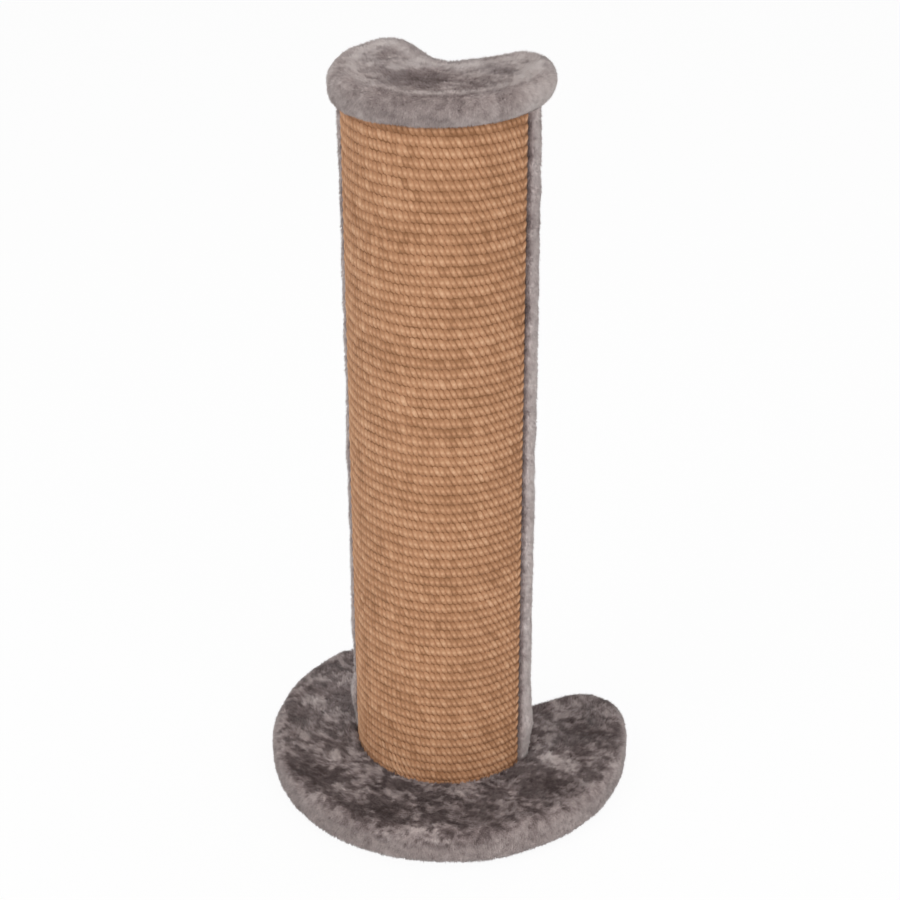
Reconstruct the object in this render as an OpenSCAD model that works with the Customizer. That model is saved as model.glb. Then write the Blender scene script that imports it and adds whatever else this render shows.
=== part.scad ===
// Corner-hugging cat scratcher: a notched plush base, a D-shaped column with a
// woven sisal front, and a small notched plush top. Millimetres, +Z up, the
// front faces -Y, and the notches open towards +Y, where the wall corner goes.

/* [Overall] */
// Height from the floor to the top of the upper plush
total_h = 520; // [420:1:640]
// Thickness of the plush over an edge or a face
pile_t = 8; // [5:0.5:9]
// Thickness of the plush where it is turned under and stapled
hem_t = 2; // [1:0.1:3]
// Thickness of the plush squeezed under the column
squeezed_t = 1.5; // [0.8:0.1:2.5]
// Gap round a hard piece that is sunk in the pile
pile_gap = 0.3; // [0.1:0.1:0.6]
// How far the wall's corner lies behind the column's centre, where the notches' sides would meet
corner_back = 2.9; // [2.5:0.1:8]

/* [Base plate] */
// Radius of the base's round edge
base_r = 127.5; // [110:0.5:150]
// Radius of the two rear lobes of the base
base_lobe_r = 30; // [28:0.5:36]
// Radius at the bottom of the base's notch
base_notch_r = 12.5; // [6:0.5:18]
// Thickness of the base board
base_board_t = 16; // [14:0.5:22]
// Width of the plush turned under the base
base_hem_w = 26; // [20:0.5:27]
// Thickness of the lining under the base
lining_t = 1.2; // [0.8:0.1:2]
// Distance from the base's edge to the lining's edge
lining_inset = 14; // [10:0.5:16]

/* [Top plate] */
// Radius of the top's round edge
top_r = 69.5; // [66:0.5:80]
// Radius of the two rear lobes of the top
top_lobe_r = 18.5; // [11:0.5:20]
// Radius at the bottom of the top's notch
top_notch_r = 7.5; // [6:0.5:18]
// How far the centre of the top's round edge lies in front of the column's
top_forward = 4; // [0:0.5:6]
// Thickness of the top board
top_board_t = 9; // [9:0.5:18]
// Width of the plush turned under the top
top_hem_w = 19; // [18.5:0.5:22]

/* [Plush edges] */
// Rounding of a plate's upper edge
rim_upper_r = 9; // [6:0.5:10]
// Rounding of a plate's lower edge
rim_lower_r = 6.5; // [4:0.5:8.5]

/* [Column] */
// How far the column's centre lies in front of the centre of the base's round edge
column_forward = 6; // [2:0.5:12]
// Outer radius of the bent front shell
shell_r = 58.5; // [54:0.5:60]
// Wall of the bent front shell
shell_t = 4; // [3:0.5:6]
// How far the shell's rear edges lie in front of the column's centre
shell_cut = 11; // [8:0.5:15]
// Thickness of the back panel
panel_t = 5; // [3:0.5:8]
// Distance from the panel's edge to the shell's outer surface
panel_inset = 0.3; // [0.1:0.1:1]
// Rounding of the column cover's rear corners
cover_corner_r = 13; // [9:0.5:16]
// Thickness of the lower and upper formers
former_t = 18; // [15:0.5:22]
// Thickness of the middle former
mid_former_t = 12; // [9:0.5:18]
// Width and depth of a corner post
post_w = 16; // [12:0.5:17]
// Gap between a corner post's outer edge and the shell
post_gap = 1.2; // [0.6:0.1:3]

/* [Sisal] */
// Thickness of the sisal mat
sisal_t = 5.5; // [4:0.5:7]
// Angle of the column's front that the mat covers
sisal_arc = 143; // [120:1:144]
// Thickness of the column cover's flap under the mat's edge
flap_t = 1.4; // [0.8:0.1:2]
// Width of the column cover's flap, as an angle
flap_arc = 12; // [8:1:16]

/* [Bolts and screws] */
// Radius of the base bolts' shanks
bolt_r = 3; // [2.5:0.5:4]
// Length of the base bolts' shanks
bolt_l = 30; // [26:1:34]
// Radius of the base bolts' heads
bolt_head_r = 5; // [4.5:0.5:6.5]
// Height of the base bolts' heads
bolt_head_h = 6; // [4:0.5:6.5]
// Width across flats of the bolt heads' hexagon sockets
bolt_socket_w = 5; // [3:0.5:5]
// Depth of the hexagon sockets
bolt_socket_h = 3; // [2:0.5:3.5]
// Radius of the washers
washer_r = 9; // [8:0.5:10]
// Thickness of the washers
washer_t = 1.6; // [1:0.1:2]
// Radius of the counterbores under the base board
counterbore_r = 11; // [10.5:0.5:12]
// Depth of the counterbores
counterbore_h = 9; // [8.5:0.5:11]
// Gap between a side bolt's tee nut and the post beside it
side_bolt_gap = 2; // [0.5:0.5:4]
// Distance of the side bolts from the formers' rear edge
side_bolt_inset = 11; // [10:0.5:15]
// Distance of the front bolt from the shell's inner wall
front_bolt_inset = 13.5; // [13:0.5:16]
// Radius of a tee nut's barrel
tee_barrel_r = 3.9; // [3.5:0.1:5]
// Length of a tee nut's barrel
tee_barrel_l = 10; // [8:0.5:12]
// Radius of a tee nut's flange
tee_flange_r = 9; // [8:0.5:9.5]
// Thickness of a tee nut's flange
tee_flange_t = 1.5; // [1:0.1:2]
// Radius of the wood screws
screw_r = 2; // [1.5:0.1:2.2]
// Radius of the wood screws' countersunk heads
screw_head_r = 4; // [3.5:0.1:4.5]
// Height of a countersunk head
screw_head_h = 2.4; // [1.8:0.1:3]
// Length of the screws that hold the posts to the formers
post_screw_l = 45; // [35:1:60]
// Length of the screws that hold the top board
top_screw_l = 26; // [24:1:28]
// Length of the screws in the back panel
panel_screw_l = 16; // [12:0.5:18]
// Number of screws from the back panel into each post
panel_screw_n = 4; // [2:1:8]

/* [Nails and staples] */
// Radius of the shell nails
nail_r = 0.8; // [0.6:0.1:1]
// Radius of the shell nails' heads
nail_head_r = 2; // [1.5:0.1:2.5]
// Thickness of the shell nails' heads
nail_head_t = 0.6; // [0.4:0.1:1]
// Length of the shell nails
nail_l = 12; // [10:0.5:13]
// How deep the nails' heads sit below the shell's surface
nail_sunk = 0.1; // [0.1:0.1:0.5]
// Angle between the nails in a former
nail_step = 24; // [18:1:25]
// Wire of the staples, across
staple_w = 1.2; // [0.8:0.1:1.4]
// Thickness of the staples' wire
staple_t = 0.6; // [0.4:0.1:0.8]
// Outer width of the staples' crowns
staple_crown = 11; // [8:0.5:13]
// Length of the legs of the staples in the plates
staple_leg = 9; // [8:0.5:10]
// Number of staples round the base
base_staple_n = 22; // [14:1:28]
// How deep a crown sits below the surface it was driven into
staple_sunk = 0.2; // [0.1:0.1:0.4]
// Distance of the base's staples from its edge
base_staple_inset = 20; // [18:0.5:22]
// Distance of the top's staples from its edge
top_staple_inset = 15.7; // [14:0.1:17.5]
// Number of staples round the top's edge
top_staple_n = 9; // [5:1:11]
// How deep the mat's staples lie in the weave
mat_staple_depth = 2; // [1:0.1:2.5]
// Length of the legs of the mat's staples
mat_staple_leg = 7; // [6:0.5:7.5]
// Number of staples along each edge of the mat
mat_staple_n = 12; // [6:1:18]

/* [Hidden] */

$fn = 96;
plush_grey = [0.46, 0.42, 0.41];
sisal_tan = [0.70, 0.52, 0.39];
board_brown = [0.72, 0.60, 0.45];
pine_yellow = [0.85, 0.71, 0.50];
card_brown = [0.62, 0.47, 0.33];
lining_black = [0.12, 0.12, 0.13];
zinc_grey = [0.75, 0.76, 0.78];

// Steps in each stretch of a plate's outline and of a rounded edge
round_steps = 26;
lobe_steps = 9;
notch_steps = 8;
edge_steps = 5;
overrun = 1;
far = 400;

// Heights, from the floor up
board_z = lining_t + hem_t;
board_top = board_z + base_board_t;
base_top = board_top + pile_t;
column_z = board_top + squeezed_t;
top_board_top = total_h - pile_t;
top_board_z = top_board_top - top_board_t;
column_top = top_board_z - hem_t;
column_h = column_top - column_z;
mid_former_z = column_z + (column_h - mid_former_t) / 2;
upper_former_z = column_top - former_t;
post_z = column_z + former_t;
post_h = upper_former_z - post_z;

// Column radii, and angles counted from the front towards +X
sisal_r = shell_r + sisal_t;
cover_r = shell_r + pile_t;
former_r = shell_r - shell_t;
sisal_end = sisal_arc / 2;
panel_back = -shell_cut + panel_t;
cover_back = panel_back + pile_t;
panel_half_w = sqrt(pow(shell_r, 2) - pow(shell_cut, 2)) - panel_inset;

// Posts stand in the shell's rear corners, and the bolts between them
post_x = sqrt(pow(former_r - post_gap, 2) - pow(shell_cut + post_w, 2)) - post_w;
bolt_x = post_x - side_bolt_gap - tee_flange_r;
side_bolt_y = shell_cut + side_bolt_inset;
front_bolt_y = former_r - front_bolt_inset;

// A plate is [edge radius, lobe radius, notch radius, wall corner behind the edge's centre]
base_plate = [base_r, base_lobe_r, base_notch_r, corner_back - column_forward];
top_plate = [top_r, top_lobe_r, top_notch_r, corner_back + top_forward];

// The lobe touches the 45 degree side of the notch and the round edge from inside
function lobe_shift(p) = p[1] * sqrt(2) - p[3];
function lobe_root(p) = sqrt(2 * pow(p[0] - p[1], 2) - pow(lobe_shift(p), 2));
function lobe_centre(p) = [(lobe_root(p) + lobe_shift(p)) / 2, (lobe_root(p) - lobe_shift(p)) / 2];
function notch_centre(p) = [0, p[3] + p[2] * sqrt(2)];

// Where the pieces stand, with the base's depth centred on the origin
base_y = (base_r - lobe_centre(base_plate)[1] - base_lobe_r) / 2;
column_y = base_y - column_forward;
top_y = column_y - top_forward;

function arc(c, r, a0, a1, n) = [for (i = [0 : n]) let (a = a0 + (a1 - a0) * i / n) c + r * [cos(a), sin(a)]];
function flip(points) = [for (i = [len(points) - 1 : -1 : 0]) [-points[i][0], points[i][1]]];
function polar(r, a) = r * [sin(a), -cos(a)];

// Right half of a plate's outline, drawn in by inset, from the front to the notch
function half_outline(p, inset) =
    let (lobe = lobe_centre(p), meet = atan2(lobe[1], lobe[0]))
    concat(
        arc([0, 0], p[0] - inset, -90, meet, round_steps),
        arc(lobe, p[1] - inset, meet + (135 - meet) / lobe_steps, 135, lobe_steps - 1),
        arc(notch_centre(p), p[2] + inset, -45, -90, notch_steps / 2));
function without_ends(points) = [for (i = [1 : len(points) - 2]) points[i]];
function outline(p, inset) = let (half = half_outline(p, inset)) concat(half, flip(without_ends(half)));

// Closed skin through level rings, each [inset, height], from the lowest to the highest
module ringed_solid(p, rings) {
    n = len(outline(p, 0));
    last = (len(rings) - 1) * n;
    points = [for (r = rings) for (q = outline(p, r[0])) [q[0], q[1], r[1]]];
    walls = [for (k = [0 : len(rings) - 2]) for (i = [0 : n - 1])
        let (a = k * n + i, b = k * n + (i + 1) % n) [a, a + n, b + n, b]];
    polyhedron(points, concat(
        [[for (i = [0 : n - 1]) i]],
        walls,
        [[for (i = [n - 1 : -1 : 0]) last + i]]));
}

function edge_rings(z0, z1) = concat(
    [for (i = [0 : edge_steps - 1]) let (a = 90 * i / edge_steps)
        [rim_lower_r * (1 - sin(a)), z0 + rim_lower_r * (1 - cos(a))]],
    [[0, z0 + rim_lower_r]],
    [for (i = [0 : edge_steps]) let (a = 90 * i / edge_steps)
        [rim_upper_r * (1 - cos(a)), z1 - rim_upper_r * (1 - sin(a))]]);

module board_shape(p, inset) {
    polygon(outline(p, inset));
}

// Flat D: round at the front, straight at the back
module d_shape(r, back) {
    difference() {
        circle(r);
        translate([-far / 2, back]) square([far, far]);
    }
}

// The column cover's outer line on the right, from the mat's edge to the middle of the back
function cover_half() =
    let (proud = cover_r - sisal_r,
        yc = cover_back - cover_corner_r,
        xc = sqrt(pow(cover_r - cover_corner_r, 2) - yc * yc),
        nose = proud / cover_r * 180 / PI,
        meet = atan2(xc, -yc))
    concat(
        [for (i = [0 : edge_steps]) let (a = 90 * i / edge_steps)
            polar(sisal_r + proud * sin(a), sisal_end + nose * (1 - cos(a)))],
        [for (i = [1 : edge_steps]) let (share = i / edge_steps)
            polar(cover_r, (sisal_end + nose) * (1 - share) + meet * share)],
        arc([xc, yc], cover_corner_r, meet - 90 + (180 - meet) / lobe_steps, 90, lobe_steps - 1));
function mat_line() = [for (i = [-round_steps : round_steps]) polar(sisal_r, sisal_end * i / round_steps)];
function footprint() = concat(without_ends(mat_line()), cover_half(), flip(cover_half()));

// Slice of a circle between two angles counted from the front towards +X
module slice(r, a0, a1) {
    intersection() {
        circle(r);
        polygon([[0, 0], polar(far, a0), polar(far, a1)]);
    }
}

module sector(r0, r1, a0, a1, h) {
    rotate([0, 0, a0 - 90]) rotate_extrude(angle = a1 - a0) translate([r0, 0]) square([r1 - r0, h]);
}

// Countersunk screw along +Z, with its head's face at the origin
module screw(length) {
    cylinder(h = screw_head_h, r1 = screw_head_r, r2 = screw_r);
    cylinder(h = length, r = screw_r);
}

// Staple with its crown along X at the origin and its legs up; sink lets the crown down to open a groove
module staple(leg = staple_leg, sink = 0) {
    translate([-staple_crown / 2, -staple_w / 2, -sink]) cube([staple_crown, staple_w, staple_t + sink]);
    for (side = [-1, 1])
        translate([side * (staple_crown - staple_w) / 2 - staple_w / 2, -staple_w / 2, 0])
            cube([staple_w, staple_w, leg]);
}

// Place at a distance along a closed line, as [x, y, direction]
function side_of(points, i) = points[(i + 1) % len(points)] - points[i];
function spot_at(points, distance, i = 0) =
    let (step = side_of(points, i), length = norm(step))
    distance > length ? spot_at(points, distance - length, i + 1) :
    let (q = points[i] + step * distance / length) [q[0], q[1], atan2(step[1], step[0])];
function line_length(points, i = 0) =
    i == len(points) ? 0 : norm(side_of(points, i)) + line_length(points, i + 1);

module base_staple_set(sink = 0) {
    line = outline(base_plate, base_staple_inset);
    pitch = line_length(line) / base_staple_n;
    for (i = [0 : base_staple_n - 1]) {
        spot = spot_at(line, pitch * (i + 0.5));
        translate([spot[0], base_y + spot[1], staple_sunk]) rotate([0, 0, spot[2]]) staple(sink = sink);
    }
}

// The top's staples keep clear of its small lobes, where a crown would not fit
module top_staple_set(sink = 0) {
    for (i = [0 : top_staple_n - 1]) {
        a = 180 * (i + 0.5) / top_staple_n - 90;
        translate([0, top_y, column_top + staple_sunk])
            translate(polar(top_r - top_staple_inset, a)) rotate([0, 0, a]) staple(sink = sink);
    }
}

module mat_staple_set() {
    pitch = column_h / mat_staple_n;
    for (side = [-1, 1]) for (i = [0 : mat_staple_n - 1])
        translate([0, column_y, column_z + pitch * (i + 0.5)])
            rotate([0, 0, side * (sisal_end - flap_arc / 2)])
                translate([0, -sisal_r + mat_staple_depth, 0]) rotate([-90, 90, 0]) staple(mat_staple_leg);
}

function bolt_spots() = [[0, -front_bolt_y], [-bolt_x, -side_bolt_y], [bolt_x, -side_bolt_y]];
module at_bolts() {
    for (s = bolt_spots()) translate([s[0], column_y + s[1], 0]) children();
}

bolt_seat_z = board_z + counterbore_h - washer_t;
module bolt_set() {
    at_bolts() translate([0, 0, bolt_seat_z]) {
        translate([0, 0, -bolt_head_h]) cylinder(h = bolt_head_h, r = bolt_head_r);
        cylinder(h = bolt_l, r = bolt_r);
    }
}

module post_screw_set() {
    for (side = [-1, 1]) translate([side * (post_x + post_w / 2), column_y - shell_cut - post_w / 2, 0]) {
        translate([0, 0, column_z]) screw(post_screw_l);
        translate([0, 0, column_top]) mirror([0, 0, 1]) screw(post_screw_l);
    }
}

module top_screw_set() {
    at_bolts() translate([0, 0, upper_former_z]) screw(top_screw_l);
}

module panel_screw_set() {
    pitch = post_h / panel_screw_n;
    spots = concat(
        [for (side = [-1, 1]) for (i = [0 : panel_screw_n - 1])
            [side * (post_x + post_w / 2), post_z + pitch * (i + 0.5)]],
        [for (z = [column_z + former_t / 2, upper_former_z + former_t / 2]) [0, z]]);
    for (s = spots) translate([s[0], column_y + panel_back, s[1]]) rotate([90, 0, 0]) screw(panel_screw_l);
}

// Shell nails along the formers; sink lets the heads out to open a recess
module nail_set(sink = 0) {
    heights = [column_z + former_t / 2, mid_former_z + mid_former_t / 2, upper_former_z + former_t / 2];
    for (z = heights) for (i = [-2 : 2])
        translate([0, column_y, z]) rotate([0, 0, i * nail_step])
            translate([0, nail_sunk - shell_r, 0]) rotate([-90, 0, 0]) {
                translate([0, 0, -sink]) cylinder(h = nail_head_t + sink, r = nail_head_r);
                cylinder(h = nail_l, r = nail_r);
            }
}

module former(z, thickness) {
    translate([0, column_y, z]) linear_extrude(thickness) d_shape(former_r, -shell_cut);
}

module post_block(side, z, h) {
    x = side > 0 ? post_x : -post_x - post_w;
    translate([x, column_y - shell_cut - post_w, z]) cube([post_w, post_w, h]);
}

module column_pocket(z, h) {
    translate([0, column_y, z]) linear_extrude(h) offset_footprint();
}

// The column's outer line with the pile's gap round it, as seen from its centre
module offset_footprint() {
    pts = footprint();
    polygon([for (q = pts) q * (1 + pile_gap / norm(q))]);
}

module base_lining() {
    color(lining_black) difference() {
        translate([0, base_y, 0]) linear_extrude(lining_t) board_shape(base_plate, lining_inset);
        at_bolts() translate([0, 0, -overrun]) cylinder(h = lining_t + 2 * overrun, r = counterbore_r);
        base_staple_set(staple_sunk + overrun);
    }
}

module base_cover() {
    color(plush_grey) difference() {
        translate([0, base_y, 0]) ringed_solid(base_plate, edge_rings(lining_t, base_top));
        translate([0, base_y, board_z]) linear_extrude(base_board_t) board_shape(base_plate, pile_t);
        translate([0, base_y, 0]) linear_extrude(board_z) board_shape(base_plate, base_hem_w);
        column_pocket(column_z, pile_t);
        at_bolts() cylinder(h = base_top, r = bolt_r);
        base_staple_set();
    }
}

module base_board() {
    color(board_brown) difference() {
        translate([0, base_y, board_z]) linear_extrude(base_board_t) board_shape(base_plate, pile_t);
        at_bolts() {
            translate([0, 0, board_z - overrun]) cylinder(h = counterbore_h + overrun, r = counterbore_r);
            cylinder(h = base_top, r = bolt_r);
        }
        base_staple_set();
    }
}

module base_staples() {
    color(zinc_grey) base_staple_set();
}

module base_bolts() {
    color(zinc_grey) difference() {
        bolt_set();
        at_bolts() translate([0, 0, bolt_seat_z - bolt_head_h - overrun])
            cylinder(h = bolt_socket_h + overrun, d = bolt_socket_w / cos(30), $fn = 6);
    }
}

module base_washers() {
    color(zinc_grey) at_bolts() translate([0, 0, bolt_seat_z]) difference() {
        cylinder(h = washer_t, r = washer_r);
        translate([0, 0, -overrun]) cylinder(h = washer_t + 2 * overrun, r = bolt_r);
    }
}

module tee_nut_set() {
    at_bolts() translate([0, 0, post_z]) {
        translate([0, 0, -tee_barrel_l]) cylinder(h = tee_barrel_l, r = tee_barrel_r);
        cylinder(h = tee_flange_t, r = tee_flange_r);
    }
}

module tee_nuts() {
    color(zinc_grey) difference() {
        tee_nut_set();
        at_bolts() cylinder(h = column_top, r = bolt_r);
    }
}

module lower_former() {
    color(board_brown) difference() {
        former(column_z, former_t);
        at_bolts() cylinder(h = column_top, r = bolt_r);
        tee_nut_set();
        post_screw_set();
        panel_screw_set();
        nail_set();
    }
}

// Rear corner of the middle former, cut away where a post passes
module corner_notch(side) {
    w = former_r - post_x;
    x = side > 0 ? post_x : -post_x - w;
    translate([x, column_y - shell_cut - post_w, mid_former_z - overrun])
        cube([w, post_w + overrun, mid_former_t + 2 * overrun]);
}

module middle_former() {
    color(board_brown) difference() {
        former(mid_former_z, mid_former_t);
        corner_notch(-1);
        corner_notch(1);
        nail_set();
    }
}

module upper_former() {
    color(board_brown) difference() {
        former(upper_former_z, former_t);
        post_screw_set();
        top_screw_set();
        panel_screw_set();
        nail_set();
    }
}

module post(side) {
    color(pine_yellow) difference() {
        post_block(side, post_z, post_h);
        post_screw_set();
        panel_screw_set();
    }
}

module left_post() {
    post(-1);
}

module right_post() {
    post(1);
}

module post_screws() {
    color(zinc_grey) post_screw_set();
}

module front_shell() {
    color(card_brown) difference() {
        translate([0, column_y, column_z]) linear_extrude(column_h) difference() {
            d_shape(shell_r, -shell_cut);
            circle(former_r);
        }
        nail_set(nail_sunk + overrun);
        mat_staple_set();
    }
}

module shell_nails() {
    color(zinc_grey) nail_set();
}

module back_panel() {
    color(card_brown) difference() {
        translate([-panel_half_w, column_y - shell_cut, column_z])
            cube([2 * panel_half_w, panel_t, column_h]);
        panel_screw_set();
    }
}

module panel_screws() {
    color(zinc_grey) panel_screw_set();
}

// Plush round the sides and the back, with a thin flap under each edge of the mat
module column_cover() {
    inner = [polar(former_r, sisal_end)];
    side = concat(inner, cover_half());
    color(plush_grey) difference() {
        translate([0, column_y, column_z]) linear_extrude(column_h) difference() {
            union() {
                polygon(concat(side, flip(side)));
                for (a = [-sisal_end - overrun, sisal_end - flap_arc])
                    slice(shell_r + flap_t, a, a + flap_arc + overrun);
            }
            d_shape(shell_r, -shell_cut);
            translate([-panel_half_w, -shell_cut]) square([2 * panel_half_w, panel_t]);
        }
        mat_staple_set();
    }
}

module sisal_mat() {
    cut_h = column_h + 2 * overrun;
    color(sisal_tan) difference() {
        translate([0, column_y, column_z]) sector(shell_r, sisal_r, -sisal_end, sisal_end, column_h);
        for (a = [-sisal_end - overrun, sisal_end - flap_arc])
            translate([0, column_y, column_z - overrun])
                sector(shell_r - overrun, shell_r + flap_t, a, a + flap_arc + overrun, cut_h);
        mat_staple_set();
    }
}

module mat_staples() {
    color(zinc_grey) mat_staple_set();
}

module top_screws() {
    color(zinc_grey) top_screw_set();
}

module top_board() {
    color(board_brown) difference() {
        translate([0, top_y, top_board_z]) linear_extrude(top_board_t) board_shape(top_plate, pile_t);
        top_screw_set();
        top_staple_set();
    }
}

module top_cover() {
    color(plush_grey) difference() {
        translate([0, top_y, 0]) ringed_solid(top_plate, edge_rings(column_top, total_h));
        translate([0, top_y, top_board_z]) linear_extrude(top_board_t) board_shape(top_plate, pile_t);
        translate([0, top_y, column_top - overrun])
            linear_extrude(hem_t + overrun) d_shape(top_r - top_hem_w, top_forward - shell_cut - shell_t);
        top_staple_set(staple_sunk + overrun);
    }
}

module top_staples() {
    color(zinc_grey) top_staple_set();
}

base_lining();
base_cover();
base_board();
base_staples();
base_bolts();
base_washers();
tee_nuts();
lower_former();
middle_former();
upper_former();
left_post();
right_post();
post_screws();
front_shell();
shell_nails();
back_panel();
panel_screws();
column_cover();
sisal_mat();
mat_staples();
top_screws();
top_board();
top_cover();
top_staples();
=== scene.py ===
"""Dressed model of a corner cat scratcher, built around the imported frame.

Plush covers two notched plates and the sides and back of a D-shaped column, and a woven sisal mat
covers its front. Metres, +Z up, the front faces -Y, and the notches open towards +Y.
"""
import logging
import math
from dataclasses import dataclass, field
from enum import Enum
from typing import Any, Callable, Mapping, Sequence

import bmesh
import bpy
import numpy as np
from mathutils import Matrix, Vector, noise
from mathutils.kdtree import KDTree


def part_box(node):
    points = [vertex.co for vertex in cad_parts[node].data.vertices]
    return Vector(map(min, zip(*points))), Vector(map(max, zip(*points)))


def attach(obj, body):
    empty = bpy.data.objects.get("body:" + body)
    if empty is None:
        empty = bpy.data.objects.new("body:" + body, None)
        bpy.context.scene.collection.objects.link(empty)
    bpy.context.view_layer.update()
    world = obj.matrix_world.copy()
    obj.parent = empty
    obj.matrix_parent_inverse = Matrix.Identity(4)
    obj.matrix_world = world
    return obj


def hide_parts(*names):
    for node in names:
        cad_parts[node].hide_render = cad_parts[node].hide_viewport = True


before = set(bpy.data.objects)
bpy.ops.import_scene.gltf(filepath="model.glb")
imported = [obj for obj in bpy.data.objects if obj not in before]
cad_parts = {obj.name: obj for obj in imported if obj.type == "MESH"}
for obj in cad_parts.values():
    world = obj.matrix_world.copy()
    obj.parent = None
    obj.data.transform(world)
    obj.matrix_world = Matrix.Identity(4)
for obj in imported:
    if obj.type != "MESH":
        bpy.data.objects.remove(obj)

log = logging.getLogger("cat_scratcher")

MM = 0.001
MERGE = 0.02 * MM
UP = (0.0, 0.0, 1.0)
BODY = "root"
PICTURE_PX = 900
NOISE_FADE = 0.9
NOISE_STEP = 2.1
WHITE = (1.0, 1.0, 1.0, 1.0)

Colour = tuple[float, float, float, float]
Band = tuple[float, float]
Array = np.ndarray


class Slot(Enum):
    """Names of the record's material slots: plush, sisal and lining."""

    PLUSH = "plush"
    SISAL = "sisal"
    LINING = "lining"


def tint(red: int, green: int, blue: int) -> Colour:
    """Turn an 8-bit screen colour into a linear one.

    Args:
        red: Red from 0 to 255.
        green: Green from 0 to 255.
        blue: Blue from 0 to 255.

    Returns:
        The linear colour with full alpha.
    """

    def linear(value: int) -> float:
        """Linear share of one channel."""
        share = value / 255
        return share / 12.92 if share <= 0.04045 else ((share + 0.055) / 1.055) ** 2.4

    return linear(red), linear(green), linear(blue), 1.0


def smooth(low: float, high: float, value: Array) -> Array:
    """Rise smoothly from 0 at low to 1 at high."""
    share = np.clip((value - low) / (high - low), 0.0, 1.0)
    return share * share * (3 - 2 * share)


def unit(vectors: Array) -> Array:
    """Scale rows of vectors to length one."""
    return vectors / np.maximum(np.linalg.norm(vectors, axis=-1, keepdims=True), 1e-12)


def noise_at(points: Array, size: float, shift: float = 0.0, octaves: int = 3) -> Array:
    """Smooth noise of about -1 to 1 at rows of places, with cells of a size, moved by a shift."""
    scaled = points / size + shift
    return np.array([noise.fractal(Vector(p), NOISE_FADE, NOISE_STEP, octaves) for p in scaled])


@dataclass(frozen=True)
class Waves:
    """Smooth irregularity of a strength, with cells of a size, over places."""

    strength: float
    size: float
    shift: float = 0.0
    octaves: int = 3

    def at(self, places: Array, shift: float = 0.0) -> Array:
        """Value at each place, from a pattern that is moved on by a shift."""
        return self.strength * noise_at(places, self.size, self.shift + shift, self.octaves)


@dataclass(frozen=True)
class Hump:
    """Smooth rise of a size or a tone about one distance."""

    place: float
    reach: float
    height: float

    def at(self, distance: Array) -> Array:
        """Height at each distance."""
        return self.height * np.exp(-(((distance - self.place) / self.reach) ** 2))


class Wire:
    """Output socket of a node that takes part in Python arithmetic."""

    def __init__(self, graph: "Graph", socket: bpy.types.NodeSocket) -> None:
        """Keep the socket and the graph that it belongs to."""
        self.graph = graph
        self.socket = socket

    def _maths(self, operation: str, first: "Wire | float", second: "Wire | float") -> "Wire":
        """Add a Math node and return its value."""
        return self.graph.node("ShaderNodeMath", {"operation": operation}, {0: first, 1: second})

    def __add__(self, other: "Wire | float") -> "Wire":
        """Sum of this and the other."""
        return self._maths("ADD", self, other)

    __radd__ = __add__

    def __sub__(self, other: "Wire | float") -> "Wire":
        """This less the other."""
        return self._maths("SUBTRACT", self, other)

    def __rsub__(self, other: "Wire | float") -> "Wire":
        """The other less this."""
        return self._maths("SUBTRACT", other, self)

    def __mul__(self, other: "Wire | float") -> "Wire":
        """Product of this and the other."""
        return self._maths("MULTIPLY", self, other)

    __rmul__ = __mul__

    def larger(self, other: "Wire | float") -> "Wire":
        """The larger of this and the other."""
        return self._maths("MAXIMUM", self, other)


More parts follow.
